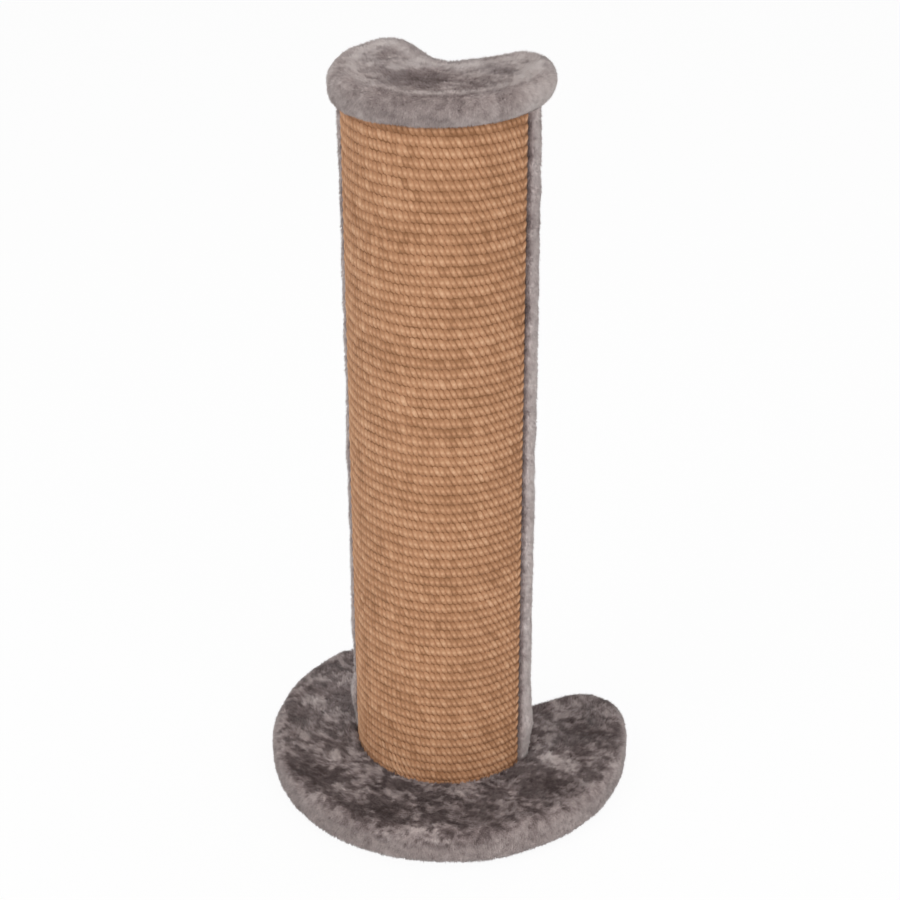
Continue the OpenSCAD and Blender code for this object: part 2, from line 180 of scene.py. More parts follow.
class Graph:
    """Node tree that is cleared and then filled through one method."""

    def __init__(self, tree: bpy.types.NodeTree) -> None:
        """Take over a tree and clear it."""
        self.tree = tree
        self.tree.nodes.clear()

    def plug(self, socket: bpy.types.NodeSocket, value: Any) -> None:
        """Link a wire to a socket, or set the socket's own value.

        Args:
            socket: The input socket.
            value: A wire, or a plain value.
        """
        if isinstance(value, Wire):
            self.tree.links.new(value.socket, socket)
        else:
            socket.default_value = value

    def node(
        self,
        kind: str,
        settings: Mapping[str, Any] | None = None,
        inputs: Mapping[int | str, Any] | None = None,
        output: int | str = 0,
    ) -> Wire:
        """Add any node.

        Args:
            kind: The node's type.
            settings: The node's own settings, where stops are a ramp's places and colours.
            inputs: Values or wires for its sockets, by name or index.
            output: The socket to return.

        Returns:
            The wire of that output.
        """
        made = self.tree.nodes.new(kind)
        for key, value in (settings or {}).items():
            if key == "stops":
                self._set_stops(made.color_ramp, value)
            else:
                setattr(made, key, value)
        for key, value in (inputs or {}).items():
            self.plug(made.inputs[key], value)
        return Wire(self, made.outputs[output])

    @staticmethod
    def _set_stops(ramp: bpy.types.ColorRamp, stops: Sequence[tuple[float, Colour]]) -> None:
        """Give a colour ramp its places and colours.

        Args:
            ramp: The ramp, which starts with two stops.
            stops: Places and colours, in order.
        """
        while len(ramp.elements) < len(stops):
            ramp.elements.new(1.0)
        for element, (place, colour) in zip(ramp.elements, stops):
            element.position = place
            element.color = colour

    def coords(self, output: str = "Object", scale: Sequence[float] = (1, 1, 1)) -> Wire:
        """Texture coordinates, stretched by a scale."""
        place = self.node("ShaderNodeTexCoord", output=output)
        return self.node("ShaderNodeMapping", inputs={"Vector": place, "Scale": tuple(scale)})

    def grain(self, place: Wire, scale: float, detail: float, roughness: float) -> Wire:
        """Noise value at a place, about 0 to 1."""
        inputs = {"Vector": place, "Scale": scale, "Detail": detail, "Roughness": roughness}
        return self.node("ShaderNodeTexNoise", inputs=inputs)

    def mark(self, name: str) -> Wire:
        """Value of a piece's own attribute."""
        return self.node("ShaderNodeAttribute", {"attribute_name": name}, output="Fac")

    def ramp(self, value: Wire, stops: Sequence[tuple[float, Colour]]) -> Wire:
        """Colour for a value from a ramp's stops."""
        return self.node("ShaderNodeValToRGB", {"stops": stops}, {"Fac": value})

    def bump(self, height: Wire, strength: float, distance: float) -> Wire:
        """Normal that follows a height."""
        inputs = {"Height": height, "Strength": strength, "Distance": distance}
        return self.node("ShaderNodeBump", inputs=inputs)

    def backdrop(self) -> Wire:
        """One for rays that show the background, and nought for rays that light the object.

        Returns:
            The wire of that value.
        """
        rays = [
            self.node("ShaderNodeLightPath", output=f"Is {kind} Ray")
            for kind in ("Camera", "Glossy", "Transmission")
        ]
        return rays[0].larger(rays[1]).larger(rays[2])


class Surface(Graph):
    """Graph of one new material that ends in a Principled shader."""

    def __init__(self, name: str) -> None:
        """Make the material with its shader and its output.

        Args:
            name: The material's name.
        """
        self.material = bpy.data.materials.new(name)
        self.material.use_nodes = True
        super().__init__(self.material.node_tree)
        self.shader = self.tree.nodes.new("ShaderNodeBsdfPrincipled")
        self.output = self.tree.nodes.new("ShaderNodeOutputMaterial")
        self.shade = Wire(self, self.shader.outputs["BSDF"])
        self.plug(self.output.inputs["Surface"], self.shade)

    def finish(self, **sockets: Any) -> bpy.types.Material:
        """Set the shader's sockets.

        Args:
            sockets: Values or wires by socket name, with underscores for blanks.

        Returns:
            The material.
        """
        for key, value in sockets.items():
            self.plug(self.shader.inputs[key.replace("_", " ")], value)
        return self.material


@dataclass(frozen=True)
class PlushFinish:
    """Short grey plush whose tone follows the way its pile was brushed, with painted shade and
    painted sheen.
    """

    name: str = "grey_plush"
    crushed_and_shaded: Colour = tint(90, 77, 75)
    brushed: Colour = tint(140, 125, 123)
    raised: Colour = tint(192, 177, 174)
    pale_pile_and_sheen: Colour = tint(228, 216, 212)

    def material(self) -> bpy.types.Material:
        """Make the material, which reads the pile's tone from the mesh: the way it was brushed,
        with painted shade and painted sheen.

        Returns:
            The material.
        """
        graph = Surface(self.name)
        place = graph.coords()
        streaks = graph.grain(graph.coords(scale=(0.7, 1.8, 0.9)), 220.0, 3.0, 0.65)
        fine = graph.grain(place, 900.0, 2.0, 0.5)
        nap_and_shading = graph.mark("nap_and_shading") + (streaks - 0.5) * 0.5 + (fine - 0.5) * 0.22
        # The ramp runs from pressed-down pile in painted shade, through brushed pile, to light pile
        # and painted sheen on rims and edges.
        stops = [(0.0, self.crushed_and_shaded), (0.34, self.brushed), (0.67, self.raised), (1.0, self.pale_pile_and_sheen)]
        return graph.finish(
            Base_Color=graph.ramp(nap_and_shading, stops),
            Roughness=0.95,
            Specular_IOR_Level=0.15,
            Sheen_Weight=0.18,
            Sheen_Roughness=0.45,
            Normal=graph.bump(fine + streaks, 0.5, 0.4 * MM),
        )


@dataclass(frozen=True)
class SisalFinish:
    """Spun sisal yarn whose fibres run along each float."""

    name: str
    shadow: Colour
    body: Colour
    shine: Colour
    fibre_scale: tuple[float, float, float] = (26.0, 3.0, 1.0)

    def material(self) -> bpy.types.Material:
        """Make the material, which reads each yarn's tone, with its painted highlights and shade,
        and grain from the mesh.

        Returns:
            The material.
        """
        graph = Surface(self.name)
        fibres = graph.grain(graph.coords("UV", self.fibre_scale), 1.0, 4.0, 0.7)
        flecks = graph.grain(graph.coords(), 420.0, 2.0, 0.6)
        tone = graph.mark("tone") + (fibres - 0.5) * 0.6 + (flecks - 0.5) * 0.3
        stops = [(0.0, self.shadow), (0.5, self.body), (1.0, self.shine)]
        return graph.finish(
            Base_Color=graph.ramp(tone, stops),
            Roughness=0.78,
            Specular_IOR_Level=0.25,
            Sheen_Weight=0.05,
            Normal=graph.bump(fibres, 0.7, 0.35 * MM),
        )


@dataclass(frozen=True)
class WoodFinish:
    """Sawn or pressed wood, with grain stretched along one axis."""

    name: str
    dark: Colour
    pale: Colour
    stretch: tuple[float, float, float]
    scale: float

    def material(self) -> bpy.types.Material:
        """Make the material from stretched noise and fine pores.

        Returns:
            The material.
        """
        graph = Surface(self.name)
        grain = graph.grain(graph.coords(scale=self.stretch), self.scale, 5.0, 0.65)
        pores = graph.grain(graph.coords(), 1400.0, 2.0, 0.5)
        figure = grain * 0.8 + pores * 0.3 - 0.05
        return graph.finish(
            Base_Color=graph.ramp(figure, [(0.3, self.dark), (0.7, self.pale)]),
            Roughness=0.7,
            Normal=graph.bump(figure, 0.3, 0.2 * MM),
        )


@dataclass(frozen=True)
class ZincFinish:
    """Bright zinc plate with faint clouding."""

    name: str = "zinc_plate"

    def material(self) -> bpy.types.Material:
        """Make the metal material.

        Returns:
            The material.
        """
        graph = Surface(self.name)
        cloud = graph.grain(graph.coords(), 260.0, 3.0, 0.6)
        stops = [(0.3, tint(150, 152, 154)), (0.7, tint(206, 208, 210))]
        return graph.finish(
            Base_Color=graph.ramp(cloud, stops),
            Metallic=1.0,
            Roughness=cloud * 0.25 + 0.25,
            Normal=graph.bump(cloud, 0.15, 0.1 * MM),
        )


@dataclass(frozen=True)
class LiningFinish:
    """Black spun-bonded cloth with pressed dots."""

    name: str = "spunbond_lining"

    def material(self) -> bpy.types.Material:
        """Make the material with its pressed dots and loose fibres.

        Returns:
            The material.
        """
        graph = Surface(self.name)
        place = graph.coords()
        cells = {"Vector": place, "Scale": 650.0}
        dots = graph.node("ShaderNodeTexVoronoi", {"feature": "F1"}, cells)
        height = dots * 0.7 + graph.grain(place, 1500.0, 3.0, 0.7) * 0.5
        stops = [(0.2, tint(20, 20, 22)), (0.8, tint(52, 52, 55))]
        return graph.finish(
            Base_Color=graph.ramp(height, stops),
            Roughness=0.85,
            Sheen_Weight=0.1,
            Normal=graph.bump(height, 0.5, 0.2 * MM),
        )


def smooth_mesh(name: str, model: bmesh.types.BMesh) -> bpy.types.Mesh:
    """Turn a bmesh into a smooth-shaded mesh.

    Args:
        name: Name of the mesh.
        model: The bmesh, which is freed.

    Returns:
        The mesh.
    """
    mesh = bpy.data.meshes.new(name)
    model.to_mesh(mesh)
    model.free()
    mesh.polygons.foreach_set("use_smooth", np.ones(len(mesh.polygons), dtype=bool))
    return mesh


def finished(name: str, model: bmesh.types.BMesh) -> bpy.types.Object:
    """Turn a bmesh into a smooth-shaded object in the scene.

    Args:
        name: Name of the object.
        model: The bmesh, which is freed.

    Returns:
        The new object.
    """
    piece = bpy.data.objects.new(name, smooth_mesh(name, model))
    bpy.context.scene.collection.objects.link(piece)
    return piece


def set_mark(piece: bpy.types.Object, name: str, values: Array) -> None:
    """Store one number per vertex in a named attribute, which is added where it is missing.

    Args:
        piece: The piece.
        name: The attribute's name.
        values: One number per vertex.
    """
    marks = piece.data.attributes
    attribute = marks.get(name) or marks.new(name, "FLOAT", "POINT")
    attribute.data.foreach_set("value", np.ascontiguousarray(values, dtype=np.float32))


def get_mark(piece: bpy.types.Object, name: str) -> Array:
    """Read one number per vertex from a named attribute.

    Args:
        piece: The piece.
        name: The attribute's name.

    Returns:
        One number per vertex.
    """
    values = np.empty(len(piece.data.vertices), dtype=np.float32)
    piece.data.attributes[name].data.foreach_get("value", values)
    return values


def vertex_places(mesh: bpy.types.Mesh) -> Array:
    """Read the places of a mesh's vertices.

    Args:
        mesh: The mesh.

    Returns:
        Rows of places.
    """
    places = np.empty((len(mesh.vertices), 3))
    mesh.vertices.foreach_get("co", places.ravel())
    return places


@dataclass
class Stamp:
    """Small template shape that is repeated over a surface."""

    template: bpy.types.Mesh
    points: Array = field(init=False)

    def __post_init__(self) -> None:
        """Read the template's own points."""
        self.points = vertex_places(self.template)

    def repeat(
        self, name: str, origin: Array, across: Array, outward: Array, along: Array
    ) -> bpy.types.Object:
        """Set a copy of the template at each origin.

        Args:
            name: Name of the new piece.
            origin: Rows of places.
            across: What one unit of the template's X becomes, per copy.
            outward: What one unit of its Y becomes, per copy.
            along: What one unit of its Z becomes, per copy.

        Returns:
            One object that holds every copy, in order.
        """
        axes = np.stack([across, outward, along], axis=1)
        places = origin[:, None, :] + np.einsum("ka,nab->nkb", self.points, axes)
        model = bmesh.new()
        for place in places.reshape(len(places), -1):
            self.template.vertices.foreach_set("co", place)
            model.from_mesh(self.template)
        return finished(name, model)

    def spread(self, values: Array, shift: Array | float = 0.0) -> Array:
        """Give a copy's value to all its points, with a shift per template point."""
        return (values[:, None] + shift * np.ones(len(self.points))).ravel()


def blade_template() -> bpy.types.Mesh:
    """Make a three-sided spike of unit size from a bmesh cone.

    Returns:
        The spike, which stands on the origin.
    """
    model = bmesh.new()
    bmesh.ops.create_cone(
        model, cap_ends=False, segments=3, radius1=1.0, radius2=0.0, depth=1.0,
        matrix=Matrix.Translation((0, 0, 0.5)),
    )
    bmesh.ops.remove_doubles(model, verts=model.verts, dist=1e-5)
    return smooth_mesh("blade", model)


def woven_grid(name: str, places: Array, marks: Mapping[str, Array]) -> bpy.types.Object:
    """Make a cloth from a grid whose points are moved to their places.

    Args:
        name: Name of the object.
        places: Places as rows by columns by three.
        marks: Attributes, one number per place in the same order.

    Returns:
        The cloth, with points that fall together merged.
    """
    rows, columns = places.shape[:2]
    values = {key: mark.reshape(rows, columns) for key, mark in marks.items()}
    model = bmesh.new()
    bmesh.ops.create_grid(model, x_segments=columns - 1, y_segments=rows - 1, size=1.0)
    layers = {key: model.verts.layers.float.new(key) for key in values}
    for vertex in model.verts:
        column = round((vertex.co.x + 1) / 2 * (columns - 1))
        row = round((vertex.co.y + 1) / 2 * (rows - 1))
        vertex.co = places[row, column]
        for key, layer in layers.items():
            vertex[layer] = float(values[key][row, column])
    bmesh.ops.remove_doubles(model, verts=model.verts, dist=MERGE)
    bmesh.ops.recalc_face_normals(model, faces=model.faces)
    return finished(name, model)


def cloth_area(cloth: bpy.types.Object) -> float:
    """Measure and report a cloth's area, from one of its faces.

    Args:
        cloth: The cloth.

    Returns:
        The area in square metres.
    """
    area = sum(polygon.area for polygon in cloth.data.polygons)
    log.info("%s: cloth area %.5f square metres", cloth.name, area)
    return area


def thicken(cloth: bpy.types.Object, thickness: float) -> None:
    """Give a cloth its thickness, inwards from its outer face.

    Args:
        cloth: The cloth.
        thickness: Its thickness.
    """
    wall = cloth.modifiers.new("thickness", "SOLIDIFY")
    wall.thickness = thickness
    wall.offset = -1.0


def dress(piece: bpy.types.Object, material: bpy.types.Material) -> None:
    """Give a new piece its material and its body, and report it.

    Args:
        piece: The new piece.
        material: Its material.
    """
    piece.data.materials.append(material)
    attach(piece, BODY)
    log.info("%s: %d faces", piece.name, len(piece.data.polygons))


@dataclass(frozen=True)
class Pile:
    """Short blades of plush that stand on a cloth."""

    blades: int
    length: float
    width: float
    tilt: float
    swirl: float
    seed: int
    tufts: float = 0.16
    # Painted shade at each blade's root and painted light at its tip.
    root_shade: float = -0.16
    tip_light: float = 0.05
    nap_spread: float = 0.05
    turn_spread: float = 0.35
    tilt_spread: float = 0.12
    length_range: Band = (0.7, 1.25)
    width_range: Band = (0.75, 1.3)
    root_depth: float = 0.4 * MM
    floor_gap: float = 0.3 * MM
    fine_tufts: Waves = Waves(1.0, 3.2 * MM, 9.0, 2)
    broad_tufts: Waves = Waves(0.6, 8 * MM, 17.0, 2)
    swirls: Waves = Waves(1.0, 22 * MM)
    tilts: Waves = Waves(0.35, 14 * MM, 5.0)

    def _sow(
        self, cloth: bpy.types.Object, rng: np.random.Generator
    ) -> tuple[Array, Array, Array]:
        """Choose where the blades stand, by the cloth's area and its cover attribute.

        Args:
            cloth: The cloth, with nap and cover attributes.
            rng: Source of the random draws.

        Returns:
            Root, normal and nap of each blade.
        """
        mesh = cloth.data
        mesh.calc_loop_triangles()
        corners = np.empty((len(mesh.loop_triangles), 3), dtype=np.int32)
        mesh.loop_triangles.foreach_get("vertices", corners.ravel())
        normals = np.empty((len(mesh.vertices), 3), dtype=np.float32)
        mesh.vertex_normals.foreach_get("vector", normals.ravel())
        places = vertex_places(mesh)
        first, second, third = places[corners].swapaxes(0, 1)
        areas = np.linalg.norm(np.cross(second - first, third - first), axis=1)
        weights = areas * get_mark(cloth, "cover")[corners].mean(axis=1)
        chosen = corners[rng.choice(len(corners), self.blades, p=weights / weights.sum())]
        inwards, sideways = rng.random((2, self.blades))
        reach = np.sqrt(inwards)
        shares = np.stack([1 - reach, reach * (1 - sideways), reach * sideways], axis=1)
        root = np.einsum("nk,nkb->nb", shares, places[chosen])
        normal = unit(np.einsum("nk,nkb->nb", shares, normals[chosen]))
        return root, normal, np.einsum("nk,nk->n", shares, get_mark(cloth, "nap_and_shading")[chosen])

    def _lean(
        self, root: Array, normal: Array, brushed: Array, rng: np.random.Generator
    ) -> Array:
        """Direction of each blade from its normal, the brushing and a slow swirl.

        Args:
            root: Places of the blades.
            normal: The cloth's normals there.
            brushed: Directions that the pile was brushed in.
            rng: Source of the random draws.

        Returns:
            One direction per blade.
        """
        flat = unit(brushed - normal * np.sum(brushed * normal, axis=1, keepdims=True))
        turn = self.swirl * self.swirls.at(root, self.seed)
        turn = turn + rng.normal(0.0, self.turn_spread, len(root))
        way = flat * np.cos(turn)[:, None] + np.cross(normal, flat) * np.sin(turn)[:, None]
        tilt = self.tilt * (1 + self.tilts.at(root, self.seed))
        tilt = tilt + rng.normal(0.0, self.tilt_spread, len(root))
        return normal * np.cos(tilt)[:, None] + way * np.sin(tilt)[:, None]

    def grow(
        self, name: str, cloth: bpy.types.Object, brushed: Callable[[Array], Array]
    ) -> bpy.types.Object:
        """Stand blades on a cloth where its cover attribute allows them.

        Args:
            name: Name of the new piece.
            cloth: The cloth, with nap and cover attributes.
            brushed: Direction that the pile was brushed in, for rows of places.

        Returns:
            The pile as one object.
        """
        rng = np.random.default_rng(self.seed)
        root, normal, nap_and_shading = self._sow(cloth, rng)
        tufts = self.fine_tufts.at(root, self.seed) + self.broad_tufts.at(root, self.seed)
        nap_and_shading = nap_and_shading + self.tufts * tufts
        lean = self._lean(root, normal, brushed(root), rng)
        side = unit(np.cross(normal, lean))
        length = self.length * rng.uniform(*self.length_range, self.blades)
        width = (self.width * rng.uniform(*self.width_range, self.blades))[:, None]
        lean[:, 2] = np.maximum(lean[:, 2], (self.floor_gap - root[:, 2]) / length)
        stamp = Stamp(blade_template())
        pile = stamp.repeat(
            name, root - normal * self.root_depth, side * width, np.cross(side, normal) * width,
            lean * length[:, None],
        )
        # Painted shade: each blade darker at its root, lighter at its tip.
        rise = self.root_shade + (self.tip_light - self.root_shade) * stamp.points[:, 2]
        nap_and_shading = nap_and_shading + rng.normal(0.0, self.nap_spread, self.blades)
        set_mark(pile, "nap_and_shading", stamp.spread(nap_and_shading, rise))
        return pile


@dataclass(frozen=True)
class PileArea:
    """Part of a cloth that gets a pile of its own."""

    part: str
    pile: Pile
    brushed: Callable[[Array], Array]
    share: Array


def finish_plush(
    cloth: bpy.types.Object, areas: Sequence[PileArea], plush: bpy.types.Material, backing: float
) -> list[bpy.types.Object]:
    """Grow a cloth's pile area by area, give it its backing, and dress it all.

    Args:
        cloth: The cloth, with nap and cover attributes.
        areas: Its areas, each with its share of the cover.
        plush: The plush material.
        backing: Thickness of the cloth under the pile.

    Returns:
        The piles.
    """
    cover = get_mark(cloth, "cover")
    piles = []
    for area in areas:
        set_mark(cloth, "cover", cover * area.share)
        piles.append(area.pile.grow(f"{cloth.name}_{area.part}_pile", cloth, area.brushed))
    thicken(cloth, backing)
    for piece in (cloth, *piles):
        dress(piece, plush)
    return piles


@dataclass(frozen=True)
class Outline:
    """Notched plate seen from above: a round edge, two rear lobes and a right-angled notch."""

    middle_y: float
    edge_r: float
    lobe_r: float
    notch_r: float
    corner: float
    pitch: float = 2.0 * MM

    def lobe(self) -> tuple[float, float]:
        """Find the right lobe, which touches the edge's circle and the notch's side.

        Returns:
            Its centre, from the edge circle's centre.
        """
        shift = self.lobe_r * math.sqrt(2) - self.corner
        root = math.sqrt(2 * (self.edge_r - self.lobe_r) ** 2 - shift**2)
        return (root + shift) / 2, (root - shift) / 2

    def _steps(self, length: float) -> int:
        """Number of points on a stretch of the outline."""
        return max(3, round(length / self.pitch))

    def loop(self, inset: float) -> Array:
        """Closed line at a distance inside the edge.

        Args:
            inset: Distance inside the outline.

        Returns:
            Rows of x and y, with the same number of points for every inset.
        """
        lobe = np.array(self.lobe())
        meet = math.atan2(lobe[1], lobe[0])
        front, eighth, turn = math.pi / 2, math.radians(45), math.radians(135)
        bottom = np.array([0.0, self.corner + self.notch_r * math.sqrt(2)])
        edge_steps = self._steps(self.edge_r * (meet + front))
        edge = arc(np.zeros(2), self.edge_r - inset, -front, meet, edge_steps)
        end_steps = self._steps(self.lobe_r * (turn - meet))
        end = arc(lobe, self.lobe_r - inset, meet, turn, end_steps)
        notch_steps = self._steps(self.notch_r * eighth * 1.5)
        notch = arc(bottom, self.notch_r + inset, -eighth, -front, notch_steps)
        count = self._steps(math.hypot(*(lobe - bottom)))
        side = end[-1] + (notch[0] - end[-1]) * np.linspace(0, 1, count)[:, None]
        half = np.concatenate([edge[:-1], end[:-1], side[:-1], notch])
        whole = np.concatenate([half, half[-2:0:-1] * (-1, 1)])
        return whole + (0, self.middle_y)


def arc(centre: Array, radius: float, first: float, last: float, steps: int) -> Array:
    """Points along an arc, both ends included."""
    angles = np.linspace(first, last, steps + 1)
    return centre + radius * np.stack([np.cos(angles), np.sin(angles)], axis=1)


@dataclass(frozen=True)
class Stroke:
    """Round patch of changed tone, in millimetres from the object's middle: where a hand lifted or
    pressed the pile, and on the base's rim where its painted sheen gives way.
    """

    x: float
    y: float
    reach_x: float
    reach_y: float
    lift: float

    def at(self, places: Array) -> Array:
        """Change of the pile's tone.

        Args:
            places: Rows of places, in metres.

        Returns:
            One change per place.
        """
        across = (places[:, 0] / MM - self.x) / self.reach_x
        along = (places[:, 1] / MM - self.y) / self.reach_y
        return self.lift * np.exp(-(across**2) - along**2)


@dataclass(frozen=True)
class NapAndShading:
    """How light the pile looks over a plate or a strip, from 0 for dark to 1 for light: partly the
    way the pile was brushed, partly painted shade on faces that get less light and painted sheen on
    rims and edges.
    """

    level: float
    patches: float
    patch_size: float
    cover: float
    shift: float
    # Tone of the rim and the face's outer band: painted sheen where it is lighter than the face.
    rim: float = 0.0
    strokes: Sequence[Stroke] = ()
    rim_strokes: Sequence[Stroke] = ()
    bend: float = 0.3
    small_size: float = 0.3
    broad_stretch: tuple[float, float, float] = (1.0, 1.35, 1.0)
    small_stretch: tuple[float, float, float] = (0.7, 1.7, 1.0)
    patch_edge: Band = (-0.24, 0.28)
    patch_mix: float = 0.62
    graded: Band = (0.02, 0.98)
    edge_noise: Band = (0.3, 0.15)
    face_noise: float = 0.1
    stroke_noise: float = 0.8
    rim_noise: Band = (0.09, 0.07)

    def at(self, places: Array, rim: Array) -> Array:
        """Tone of the pile at places.

        Args:
            places: Rows of places.
            rim: How much of the rim's tone each place has, from 0 to 1; where the rim is lighter
                than the face, that tone is painted sheen.

        Returns:
            One tone per place.
        """
        bends = [noise_at(places, self.patch_size * 0.5, self.shift + k, 2) for k in (11, 23, 37)]
        bent = places + np.stack(bends, axis=1) * self.patch_size * self.bend
        broad = noise_at(bent * self.broad_stretch, self.patch_size, self.shift, 3)
        small_size = self.patch_size * self.small_size
        small = noise_at(bent * self.small_stretch, small_size, self.shift + 3, 3)
        low, high = (self.cover + edge for edge in self.patch_edge)
        raised = smooth(low, high, self.patch_mix * broad + self.patch_mix * small)
        between = (rim > self.graded[0]) * (rim < self.graded[1])
        uneven = self.edge_noise[0] * small + self.edge_noise[1] * broad
        edge = np.clip(rim + uneven * between, 0.0, 1.0)
        face = self.level + self.patches * raised + self.face_noise * small
        face = face + self._stroked(self.strokes, bent) * (1 + self.stroke_noise * small)
        # The rim's tone, with painted sheen where it is lighter than the face.
        side = self.rim + self.rim_noise[0] * small + self.rim_noise[1] * broad
        side = side + self._stroked(self.rim_strokes, bent)
        return face * (1 - edge) + side * edge

    def _stroked(self, strokes: Sequence[Stroke], places: Array) -> Array:
        """Sum of the strokes' changes at places."""
        return sum((stroke.at(places) for stroke in strokes), np.zeros(len(places)))


@dataclass
class PlushPlate:
    """Notched plate wrapped in one piece of plush, which is turned under and stapled."""

    name: str
    node: str
    board: str
    outline: Outline
    nap_and_shading: NapAndShading
    hub: tuple[float, float]
    hem_line: Array
    footprint: Callable[[Array], Array]
    pressed_z: float | None
    # Where the rim's painted sheen reaches onto the face, and where it gives way on the rim.
    rim_band: Band
    rim_dip: Stroke = Stroke(0.0, 0.0, 1.0, 1.0, 0.0)
    dip_band: Band = (12 * MM, 21 * MM)
    # Light and dark bands in from the face's edge: a painted highlight on the ridge and painted
    # shade beside it.
    ridge_light_and_shade: Sequence[Hump] = ()
    tuck: float = 0.0
    tuck_band: Band = (-50 * MM, 50 * MM)
    sag: float = 0.0
    sag_band: Band = (-45 * MM, 0.0)
    sag_edge: Band = (2 * MM, 7 * MM)
    press_band: Band = (-4.5 * MM, -0.5 * MM)
    press_bare: float = 1.0 * MM
    upper_r: float = 9 * MM
    lower_r: float = 6.5 * MM
    hem_steps: int = 7
    lower_steps: int = 8
    wall_steps: int = 5
    upper_steps: int = 12
    under_h: float = 10 * MM
    bare_h: float = 1.2 * MM
    top_h: float = 2.5 * MM
    face_inset: float = 6 * MM
    skin_depth: float = 1.7 * MM
    fold_depth: float = 0.1 * MM
    fold_h: float = 0.5 * MM
    bulge: float = 0.9
    backing: float = 1.2 * MM
    ridge: Hump = Hump(9 * MM, 5 * MM, 0.7 * MM)
    broad_waves: Waves = Waves(0.5, 26 * MM)
    small_waves: Waves = Waves(0.22, 8 * MM, 2.0)
    low: Vector = field(init=False)
    high: Vector = field(init=False)

    def __post_init__(self) -> None:
        """Read the plate's box from the frame."""
        self.low, self.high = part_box(self.node)

    def _profile(self) -> list[tuple[float, float]]:
        """Section through the edge, from the underside to the top.

        Returns:
            Insets from the outline and heights.
        """
        low, high = self.low.z, self.high.z
        lines = []
        for step in range(self.lower_steps + 1):
            angle = math.pi / 2 * step / self.lower_steps
            depth = self.skin_depth * step / self.lower_steps + self.fold_depth
            radius = self.lower_r - depth
            inset = self.lower_r - radius * math.sin(angle)
            lines.append((inset, low + self.lower_r - radius * math.cos(angle)))
        wall = high - self.upper_r - low - self.lower_r
        for step in range(1, self.wall_steps):
            lines.append((self.skin_depth, low + self.lower_r + wall * step / self.wall_steps))
        radius = self.upper_r - self.skin_depth
        for step in range(self.upper_steps + 1):
            angle = math.pi / 2 * step / self.upper_steps
            inset = self.upper_r - radius * math.cos(angle)
            lines.append((inset, high - self.upper_r + radius * math.sin(angle)))
        return lines

    def _rings(self) -> Array:
        """Lay the cloth in rings, from the hem under the board to the middle of the face.

        Returns:
            Places as rings by points by three, where each ring's last point is its first.
        """
        hub = np.array(self.hub)
        profile = self._profile()
        fold = self.outline.loop(profile[0][0])
        hem_shares = np.linspace(1, 0, self.hem_steps + 1)[:-1]
        rings = [fold + (self.hem_line - fold) * share for share in hem_shares]
        heights = [profile[0][1]] * len(rings)
        for inset, height in profile:
            rings.append(self.outline.loop(inset))
            heights.append(height)
        top = rings[-1]
        reach = np.linalg.norm(top - hub, axis=1).max()
        for share in np.linspace(0, 1, round(reach / self.outline.pitch))[1:]:
            rings.append(top + (hub - top) * share)
            heights.append(self.high.z - self.skin_depth)
        flat = np.array(rings)
        level = np.ones(flat.shape[:2] + (1,)) * np.array(heights)[:, None, None]
        places = np.concatenate([flat, level], axis=2)
        return np.concatenate([places, places[:, :1]], axis=1)

    def _insets(self, points: Array) -> Array:
        """Measure how far places lie from the outline.

        Args:
            points: Rows of places.

        Returns:
            One distance per place.
        """
        edge = self.outline.loop(0.0)
        line = KDTree(len(edge))
        for index, spot in enumerate(edge):
            line.insert(Vector((spot[0], spot[1], 0)), index)
        line.balance()
        return np.array([line.find(Vector((p[0], p[1], 0)))[2] for p in points])

    def _rim_share(self, points: Array, inset: Array) -> Array:
        """Grade the cloth from its face to its rim, where a lighter tone is painted sheen.

        Args:
            points: Rows of places.
            inset: Their distances inside the outline.

        Returns:
            How much of the rim's tone each place has.
        """
        above = points[:, 2] > self.high.z - self.upper_r
        share = np.where(above, 1 - smooth(*self.rim_band, inset), 1.0)
        # Less of the rim's painted sheen about the dip, on the upper part of the rim.
        dip = self.rim_dip.at(points) * smooth(*self.dip_band, points[:, 2] - self.low.z)
        return share * (1 - np.clip(dip, 0.0, 1.0))

    def _ruffle(self, points: Array, inset: Array, on_top: Array) -> Array:
        """Raise the face's ridge and make face and rim uneven, in place.

        Args:
            points: Rows of places, which are moved.
            inset: Their distances inside the outline.
            on_top: Which of them lie on the face.

        Returns:
            Level directions away from the plate's middle.
        """
        points[:, 2] += self.ridge.at(inset) * on_top
        wave = self.broad_waves.at(points, self.nap_and_shading.shift)
        wave = wave + self.small_waves.at(points, self.nap_and_shading.shift)
        points[:, 2] += wave * MM * on_top
        centre = np.array([0.0, self.outline.middle_y, points[:, 2].mean()])
        sideways = unit((points - centre) * (1, 1, 0))
        rounded = (inset < self.upper_r) & (points[:, 2] > self.low.z + self.fold_h)
        points += sideways * (wave * self.bulge * MM * rounded)[:, None]
        return sideways

    def _settle(self, points: Array, sideways: Array, inset: Array) -> None:
        """Pull the lower edge in on the right and let it hang a little on the left, in place.

        Args:
            points: Rows of places, which are moved.
            sideways: Level directions away from the plate's middle.
            inset: Distances inside the outline.
        """
        under = np.clip(1 - (points[:, 2] - self.low.z) / self.under_h, 0.0, 1.0) ** 2
        right = smooth(*self.tuck_band, points[:, 0])
        at_edge = 1 - smooth(*self.sag_edge, inset)
        points -= sideways * (self.tuck * under * right)[:, None]
        left = 1 - smooth(*self.sag_band, points[:, 0])
        points[:, 2] -= self.sag * under * left * at_edge

